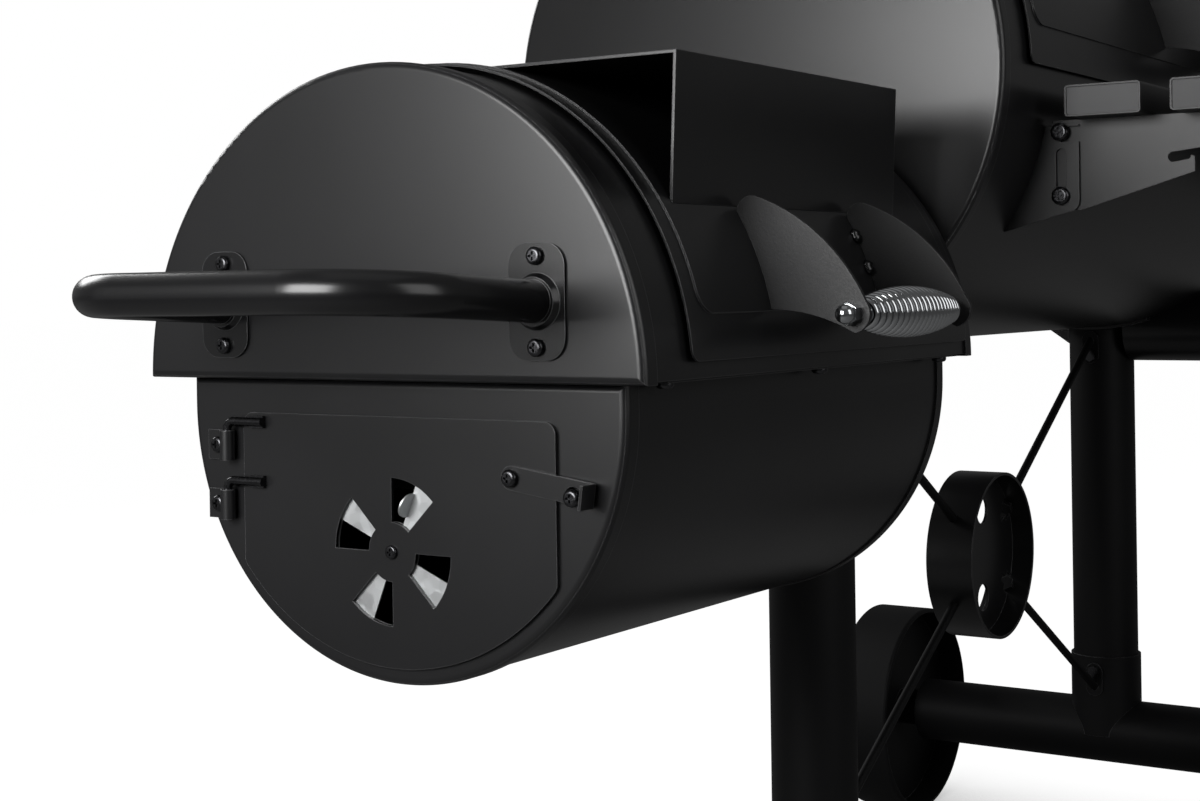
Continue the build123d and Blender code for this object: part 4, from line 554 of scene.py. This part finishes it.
class SMOKER_OT_tubes(bpy.types.Operator):
    """Enamel the pull handle and paint the stand with its wheels"""

    bl_idname = "smoker.tubes"
    bl_label = "Enamel tubes"

    def execute(self, context):
        finish = context.scene.smoker_finish
        # stove enamel on drawn tube: smoother than powder, so a light shows as a clear band
        mat = coated("stove_enamelled_tube", finish.enamel, 0.25, 1.6 * MM, 0.001 * MM, finish, 0.006)
        dress(("pull_handle",), mat)
        # sprayed matt paint on the stand and its wheels: rough pigment leaves only a broad, faint sheen
        stand = coated("sprayed_matt_paint", finish.enamel, 0.52, 1.6 * MM, 0.001 * MM, finish)
        dress(TUBE_NODES, stand)
        wheel = coated("sprayed_pressed_wheel", finish.enamel, 0.6, finish.peel, 0.02 * MM, finish)
        dress(WHEEL_NODES, wheel)
        for matt in (stand, wheel):
            shader = next(n for n in matt.node_tree.nodes if n.type == "BSDF_PRINCIPLED")
            shader.inputs["Specular IOR Level"].default_value = 0.2
        return {"FINISHED"}


class SMOKER_OT_screws(bpy.types.Operator):
    """Finish the screws and bolts, and rivet the hinges and the chimney"""

    bl_idname = "smoker.screws"
    bl_label = "Finish fasteners"

    def execute(self, context):
        fittings = context.scene.smoker_fittings
        # black zinc on cold-headed steel: dark, with sharp small highlights
        mat = metal("black_zinc_plated_steel", linear("4A4A4C"), 0.26, 0.06, 1.5 * MM, 0.01 * MM)
        dress(SCREW_NODES, mat)
        r = fittings.rivet_r
        main_leaves = ("main_door_leaves", AXIS, BARREL_R)
        box_leaves = ("firebox_door_leaves", SEAM, BOX_R)
        sets = (
            ("fixed_main_rivets", "chassis", *main_leaves, FIXED_LEAF_UP, LEAF_A),
            ("fixed_firebox_rivets", "chassis", *box_leaves, FIXED_LEAF_UP, LEAF_A),
            ("main_door_rivets", "main_door", *main_leaves, DOOR_LEAF_UP, -LEAF_A),
            ("firebox_door_rivets", "firebox_door", *box_leaves, DOOR_LEAF_UP, -LEAF_A),
        )
        near, far = LEAF_RIVETS
        for name, body, leaves, centre, radius, up, offset in sets:
            low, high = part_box(leaves)
            bm = bmesh.new()
            for x in (low.x + near, low.x + far, high.x - far, high.x - near):
                rivet_head(bm, on_shell(centre, radius + up, x, HINGE_A + offset), r)
            keep_piece(name, bm, mat, body)
        low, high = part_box("chimney")
        middle = Vector((low.x + FLANGE_X, AXIS.y, low.z + FLANGE_Z))
        upright = Matrix.Rotation(math.radians(90), 4, "Y")
        bm = bmesh.new()
        for k in range(FLANGE_RIVETS):
            a = 2 * math.pi * (k + 0.5) / FLANGE_RIVETS
            at = middle + Vector((0, FLANGE_R * math.cos(a), FLANGE_R * math.sin(a)))
            rivet_head(bm, Matrix.Translation(at) @ upright, r)
        keep_piece("chimney_rivets", bm, mat, "chassis")
        return {"FINISHED"}


class SMOKER_OT_chrome(bpy.types.Operator):
    """Plate the spring handles"""

    bl_idname = "smoker.chrome"
    bl_label = "Plate handles"

    def execute(self, context):
        finish = context.scene.smoker_finish
        # nickel and chrome on drawn spring wire: near mirror bright, a little cloudy
        mat = metal("chrome_plated_wire", finish.chrome, 0.1, 0.03, 0.8 * MM, 0.001 * MM)
        dress(CHROME_NODES, mat)
        return {"FINISHED"}


class SMOKER_OT_vent(bpy.types.Operator):
    """Galvanise the vent shutter and the hinge pins"""

    bl_idname = "smoker.vent"
    bl_label = "Galvanise vent"

    def execute(self, context):
        finish = context.scene.smoker_finish
        # hot-dip zinc on thin sheet: pale, with crystals of a few millimetres that differ in gloss
        mat, shader, place = new_material("galvanised_sheet", Metallic=1.0)
        cells = add_node(mat, "ShaderNodeTexVoronoi", {"Scale": 1 / finish.spangle}, {"Vector": place})
        tone = add_node(mat, "ShaderNodeSeparateColor", links={0: cells.outputs["Color"]})
        shade = add_node(
            mat, "ShaderNodeMapRange", {"To Min": 0.86, "To Max": 1.0}, {"Value": tone.outputs[0]}
        )
        gloss = add_node(
            mat, "ShaderNodeMapRange", {"To Min": 0.42, "To Max": 0.58}, {"Value": tone.outputs[1]}
        )
        tint = add_node(
            mat,
            "ShaderNodeVectorMath",
            {0: finish.zinc[:3]},
            {"Scale": shade.outputs["Result"]},
            operation="SCALE",
        )
        mat.node_tree.links.new(tint.outputs["Vector"], shader.inputs["Base Color"])
        mat.node_tree.links.new(gloss.outputs["Result"], shader.inputs["Roughness"])
        dress(("vent_shutter", "hinge_pins"), mat)
        return {"FINISHED"}


class SMOKER_OT_grates(bpy.types.Operator):
    """Season the grates and enamel the charcoal tray"""

    bl_idname = "smoker.grates"
    bl_label = "Finish grates"

    def execute(self, context):
        finish = context.scene.smoker_finish
        # sand-cast iron, oiled and seasoned: sandy skin with a dull sheen
        iron = coated("seasoned_cast_iron", linear("2B2927"), 0.55, 1.8 * MM, 0.12 * MM, finish)
        dress(IRON_NODES, iron)
        # vitreous enamel on pressed steel: smooth and glossy, with tiny pits
        tray = coated("vitreous_enamel", linear("19191B"), 0.22, 2.5 * MM, 0.006 * MM, finish)
        dress(("charcoal_tray",), tray)
        return {"FINISHED"}


class SMOKER_OT_thermometer(bpy.types.Operator):
    """Finish the thermometer and print its dial"""

    bl_idname = "smoker.thermometer"
    bl_label = "Finish thermometer"

    def execute(self, context):
        fittings = context.scene.smoker_fittings
        finish = context.scene.smoker_finish
        # stamped stainless steel: soft gloss with fine polishing streaks
        colour = linear("C4C5C6")
        case = metal("stamped_stainless_steel", colour, 0.24, 0.06, 0.7 * MM, 0.006 * MM, (1, 4, 4))
        dress(("thermometer_case",), case)
        # enamel paint on a stamped pointer: an even, bright red
        colour = linear("9C1F1A")
        needle = coated("painted_pointer", colour, 0.4, 0.6 * MM, 0.004 * MM, finish, edge_highlight_share=0.0)
        dress(("thermometer_needle",), needle)
        # flat float glass: clear, with one sharp reflection
        glass = new_material(
            "float_glass", Base_Color=(1, 1, 1, 1), Roughness=0.02, IOR=1.52, Transmission_Weight=1.0
        )[0]
        dress(("thermometer_glass",), glass)
        low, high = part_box("thermometer_case")
        seat = on_shell(AXIS, BARREL_R + FIELD_UP + DIAL_UP, (low.x + high.x) / 2, DIAL_A)
        # lacquered tinplate: warm white and half dull, so the print reads well
        colour = linear("ECEBE6")
        paper = coated("printed_tinplate", colour, 0.45, 0.8 * MM, 0.004 * MM, finish, edge_highlight_share=0.0)
        bm = bmesh.new()
        rim = [(0, 0), (DIAL_R, 0), (DIAL_R, 0.4 * MM), (DIAL_BORE, 0.45 * MM), (DIAL_BORE, 0)]
        lathe(bm, rim, seat, 64)
        keep_piece("dial_face", bm, paper, "main_door")
        # printing ink: flat black
        colour = linear("1A1A1A")
        ink = coated("printing_ink", colour, 0.5, 0.6 * MM, 0.002 * MM, finish, edge_highlight_share=0.0)
        bm = bmesh.new()
        for k in range(fittings.ticks + 1):
            angle = DIAL_SWEEP * (0.5 - k / fittings.ticks)
            turn = seat @ Matrix.Rotation(math.radians(angle), 4, "Z")
            half, inner = (0.5 * MM, 27.0 * MM) if k % LONG_TICK == 0 else (0.25 * MM, 29.5 * MM)
            corners = [(-half, inner), (half, inner), (half, TICK_OUT), (-half, TICK_OUT)]
            upper = [bm.verts.new(turn @ Vector((x, y, PRINT_HIGH))) for x, y in corners]
            lower = [bm.verts.new(turn @ Vector((x, y, PRINT_LOW))) for x, y in corners]
            bm.faces.new(upper)
            for i in range(4):
                bm.faces.new((upper[i], upper[i - 1], lower[i - 1], lower[i]))
        keep_piece("dial_ticks", bm, ink, "main_door")
        bm = bmesh.new()
        for k in range(DIAL_NUMBERS):
            a = math.radians(DIAL_SWEEP * (0.5 - k / (DIAL_NUMBERS - 1)))
            text = bpy.data.curves.new("dial_number", "FONT")
            text.body = str(NUMBER_STEP * (k + 1))
            text.size = NUMBER_SIZE
            text.align_x = "CENTER"
            text.align_y = "CENTER"
            text.extrude = 0.06 * MM
            probe = bpy.data.objects.new("dial_number", text)
            shape = bpy.data.meshes.new_from_object(probe)
            spot = Vector((-NUMBER_R * math.sin(a), NUMBER_R * math.cos(a), 0.46 * MM))
            shape.transform(seat @ Matrix.Translation(spot))
            bm.from_mesh(shape)
            bpy.data.objects.remove(probe)
            bpy.data.curves.remove(text)
            bpy.data.meshes.remove(shape)
        keep_piece("dial_numbers", bm, ink, "main_door")
        return {"FINISHED"}


def seen_white(mat, stage):
    """Share of white of a backdrop: whole to the camera and through glass, dim in gloss."""
    path = add_node(mat, "ShaderNodeLightPath").outputs
    straight = add_node(
        mat,
        "ShaderNodeMath",
        links={0: path["Is Camera Ray"], 1: path["Is Transmission Ray"]},
        operation="MAXIMUM",
    )
    both = add_node(
        mat,
        "ShaderNodeMath",
        {1: stage.gloss_room},
        {0: path["Is Glossy Ray"], 2: straight.outputs["Value"]},
        operation="MULTIPLY_ADD",
        use_clamp=True,
    )
    return both.outputs["Value"]


class SMOKER_OT_stage(bpy.types.Operator):
    """Set the floor, the room, the lights and the camera"""

    bl_idname = "smoker.stage"
    bl_label = "Set stage"

    def execute(self, context):
        scene = context.scene
        stage = scene.smoker_stage
        scene.view_settings.view_transform = "Standard"

        bm = bmesh.new()
        bmesh.ops.create_grid(bm, x_segments=8, y_segments=8, size=40)
        mesh = bpy.data.meshes.new("floor")
        bm.to_mesh(mesh)
        bm.free()
        floor = bpy.data.objects.new("floor", mesh)
        floor.location = (0, 0, -0.3 * MM)
        scene.collection.objects.link(floor)
        # white seamless paper: burnt out where it is seen directly, with its shadow kept, dim otherwise
        mat, shader, _ = new_material("seamless_paper", Roughness=0.9)
        seen = seen_white(mat, stage)
        dim, bright = linear("505050"), linear("F0F0F0")
        tone = add_node(mat, "ShaderNodeMix", {6: dim, 7: bright}, {0: seen}, data_type="RGBA")
        mat.node_tree.links.new(tone.outputs[2], shader.inputs["Base Color"])
        share = add_node(mat, "ShaderNodeMath", {1: 0.75}, {0: seen}, operation="MULTIPLY")
        # painted shadow: close under the object the paper's white glow is dimmed by ambient occlusion, up to
        # about a quarter of a metre away
        shaded = add_node(mat, "ShaderNodeAmbientOcclusion", {"Distance": 0.25}, samples=8)
        burnt = add_node(
            mat,
            "ShaderNodeMapRange",
            {"From Min": 0.2, "From Max": 0.95, "To Min": 0.6, "To Max": 1.31},
            {"Value": shaded.outputs["AO"]},
        )
        white = add_node(
            mat, "ShaderNodeEmission", {"Color": (1, 1, 1, 1)}, {"Strength": burnt.outputs["Result"]}
        )
        blend = add_node(
            mat,
            "ShaderNodeMixShader",
            links={0: share.outputs["Value"], 1: shader.outputs["BSDF"], 2: white.outputs["Emission"]},
        )
        output = next(n for n in mat.node_tree.nodes if n.type == "OUTPUT_MATERIAL")
        mat.node_tree.links.new(blend.outputs["Shader"], output.inputs["Surface"])
        mesh.materials.append(mat)

        # a dark room: white where it is seen straight on or through glass, dim in gloss and as light
        world = bpy.data.worlds.new("studio")
        world.use_nodes = True
        world.node_tree.nodes.clear()
        scene.world = world
        level = add_node(world, "ShaderNodeMix", {2: stage.fill, 3: 1.0}, {0: seen_white(world, stage)})
        strength = {"Strength": level.outputs[0]}
        light = add_node(world, "ShaderNodeBackground", {"Color": (1, 1, 1, 1)}, strength)
        add_node(world, "ShaderNodeOutputWorld", links={"Surface": light.outputs["Background"]})

        # a panel close by on the left, a dim bounce beside it, dim panels overhead and in front, one behind
        middle = Vector((-0.45, AXIS.y, 0.75))
        # name, power, width, height, place
        lamps = (
            ("left_panel", stage.key, 0.84, 0.66, (-1.85, 0.2, 0.99)),
            ("left_bounce", stage.bounce, 1.1, 1.4, (-2.1, 1.5, 0.9)),
            ("overhead_panel", stage.top, 1.8, 1.8, (-0.8, -0.1, 2.9)),
            ("front_panel", stage.front, 1.2, 1.6, (-0.6, -2.0, 1.45)),
            ("rear_panel", stage.rear, 1.6, 1.2, (0.3, 3.5, 2.3)),
        )
        for name, power, wide, tall, place in lamps:
            lamp = bpy.data.lights.new(name, "AREA")
            lamp.shape = "RECTANGLE"
            lamp.size = wide
            lamp.size_y = tall
            lamp.energy = power
            box = bpy.data.objects.new(name, lamp)
            box.location = place
            box.rotation_euler = (middle - box.location).to_track_quat("-Z", "Y").to_euler()
            scene.collection.objects.link(box)

        eye = bpy.data.cameras.new("photo_camera")
        eye.sensor_fit = "HORIZONTAL"
        eye.sensor_width = 36.0
        eye.lens = stage.lens
        eye.shift_y = CAMERA_SHIFT
        eye.clip_end = 200
        camera = bpy.data.objects.new("photo_camera", eye)
        ahead = CAMERA_AHEAD.normalized()
        sky = Vector((0, 0, 1))
        across = ahead.cross(sky).normalized()
        right = across * math.cos(CAMERA_ROLL) - sky * math.sin(CAMERA_ROLL)
        up = across * math.sin(CAMERA_ROLL) + sky * math.cos(CAMERA_ROLL)
        turn = Matrix((right, up, -ahead)).transposed().to_4x4()
        camera.matrix_world = Matrix.Translation(CAMERA_PLACE) @ turn
        scene.collection.objects.link(camera)
        scene.camera = camera
        return {"FINISHED"}


OPERATORS = (
    SMOKER_OT_sheet,
    SMOKER_OT_doors,
    SMOKER_OT_shelf,
    SMOKER_OT_wings,
    SMOKER_OT_tubes,
    SMOKER_OT_screws,
    SMOKER_OT_chrome,
    SMOKER_OT_vent,
    SMOKER_OT_grates,
    SMOKER_OT_thermometer,
    SMOKER_OT_stage,
)


class SMOKER_PT_panel(bpy.types.Panel):
    """Finishes, fittings and stage of the smoker"""

    bl_idname = "SMOKER_PT_panel"
    bl_label = "Offset Smoker"
    bl_space_type = "VIEW_3D"
    bl_region_type = "UI"
    bl_category = "Smoker"

    def draw(self, context):
        scene = context.scene
        for group in (scene.smoker_finish, scene.smoker_fittings, scene.smoker_stage):
            column = self.layout.column()
            for key in group.bl_rna.properties.keys():
                if key not in ("rna_type", "name"):
                    column.prop(group, key)
        for operator in OPERATORS:
            self.layout.operator(operator.bl_idname)


CLASSES = (SmokerFinish, SmokerFittings, SmokerStage, *OPERATORS, SMOKER_PT_panel)


def register():
    """Registers the classes and hangs the settings on the scene."""
    for cls in CLASSES:
        bpy.utils.register_class(cls)
    bpy.types.Scene.smoker_finish = PointerProperty(type=SmokerFinish)
    bpy.types.Scene.smoker_fittings = PointerProperty(type=SmokerFittings)
    bpy.types.Scene.smoker_stage = PointerProperty(type=SmokerStage)


def unregister():
    """Takes the settings and the classes away again."""
    del bpy.types.Scene.smoker_finish
    del bpy.types.Scene.smoker_fittings
    del bpy.types.Scene.smoker_stage
    for cls in reversed(CLASSES):
        bpy.utils.unregister_class(cls)


def main():
    """Registers the classes and builds everything in order."""
    register()
    for operator in OPERATORS:
        group, name = operator.bl_idname.split(".")
        getattr(getattr(bpy.ops, group), name)()


if __name__ == "__main__":
    main()
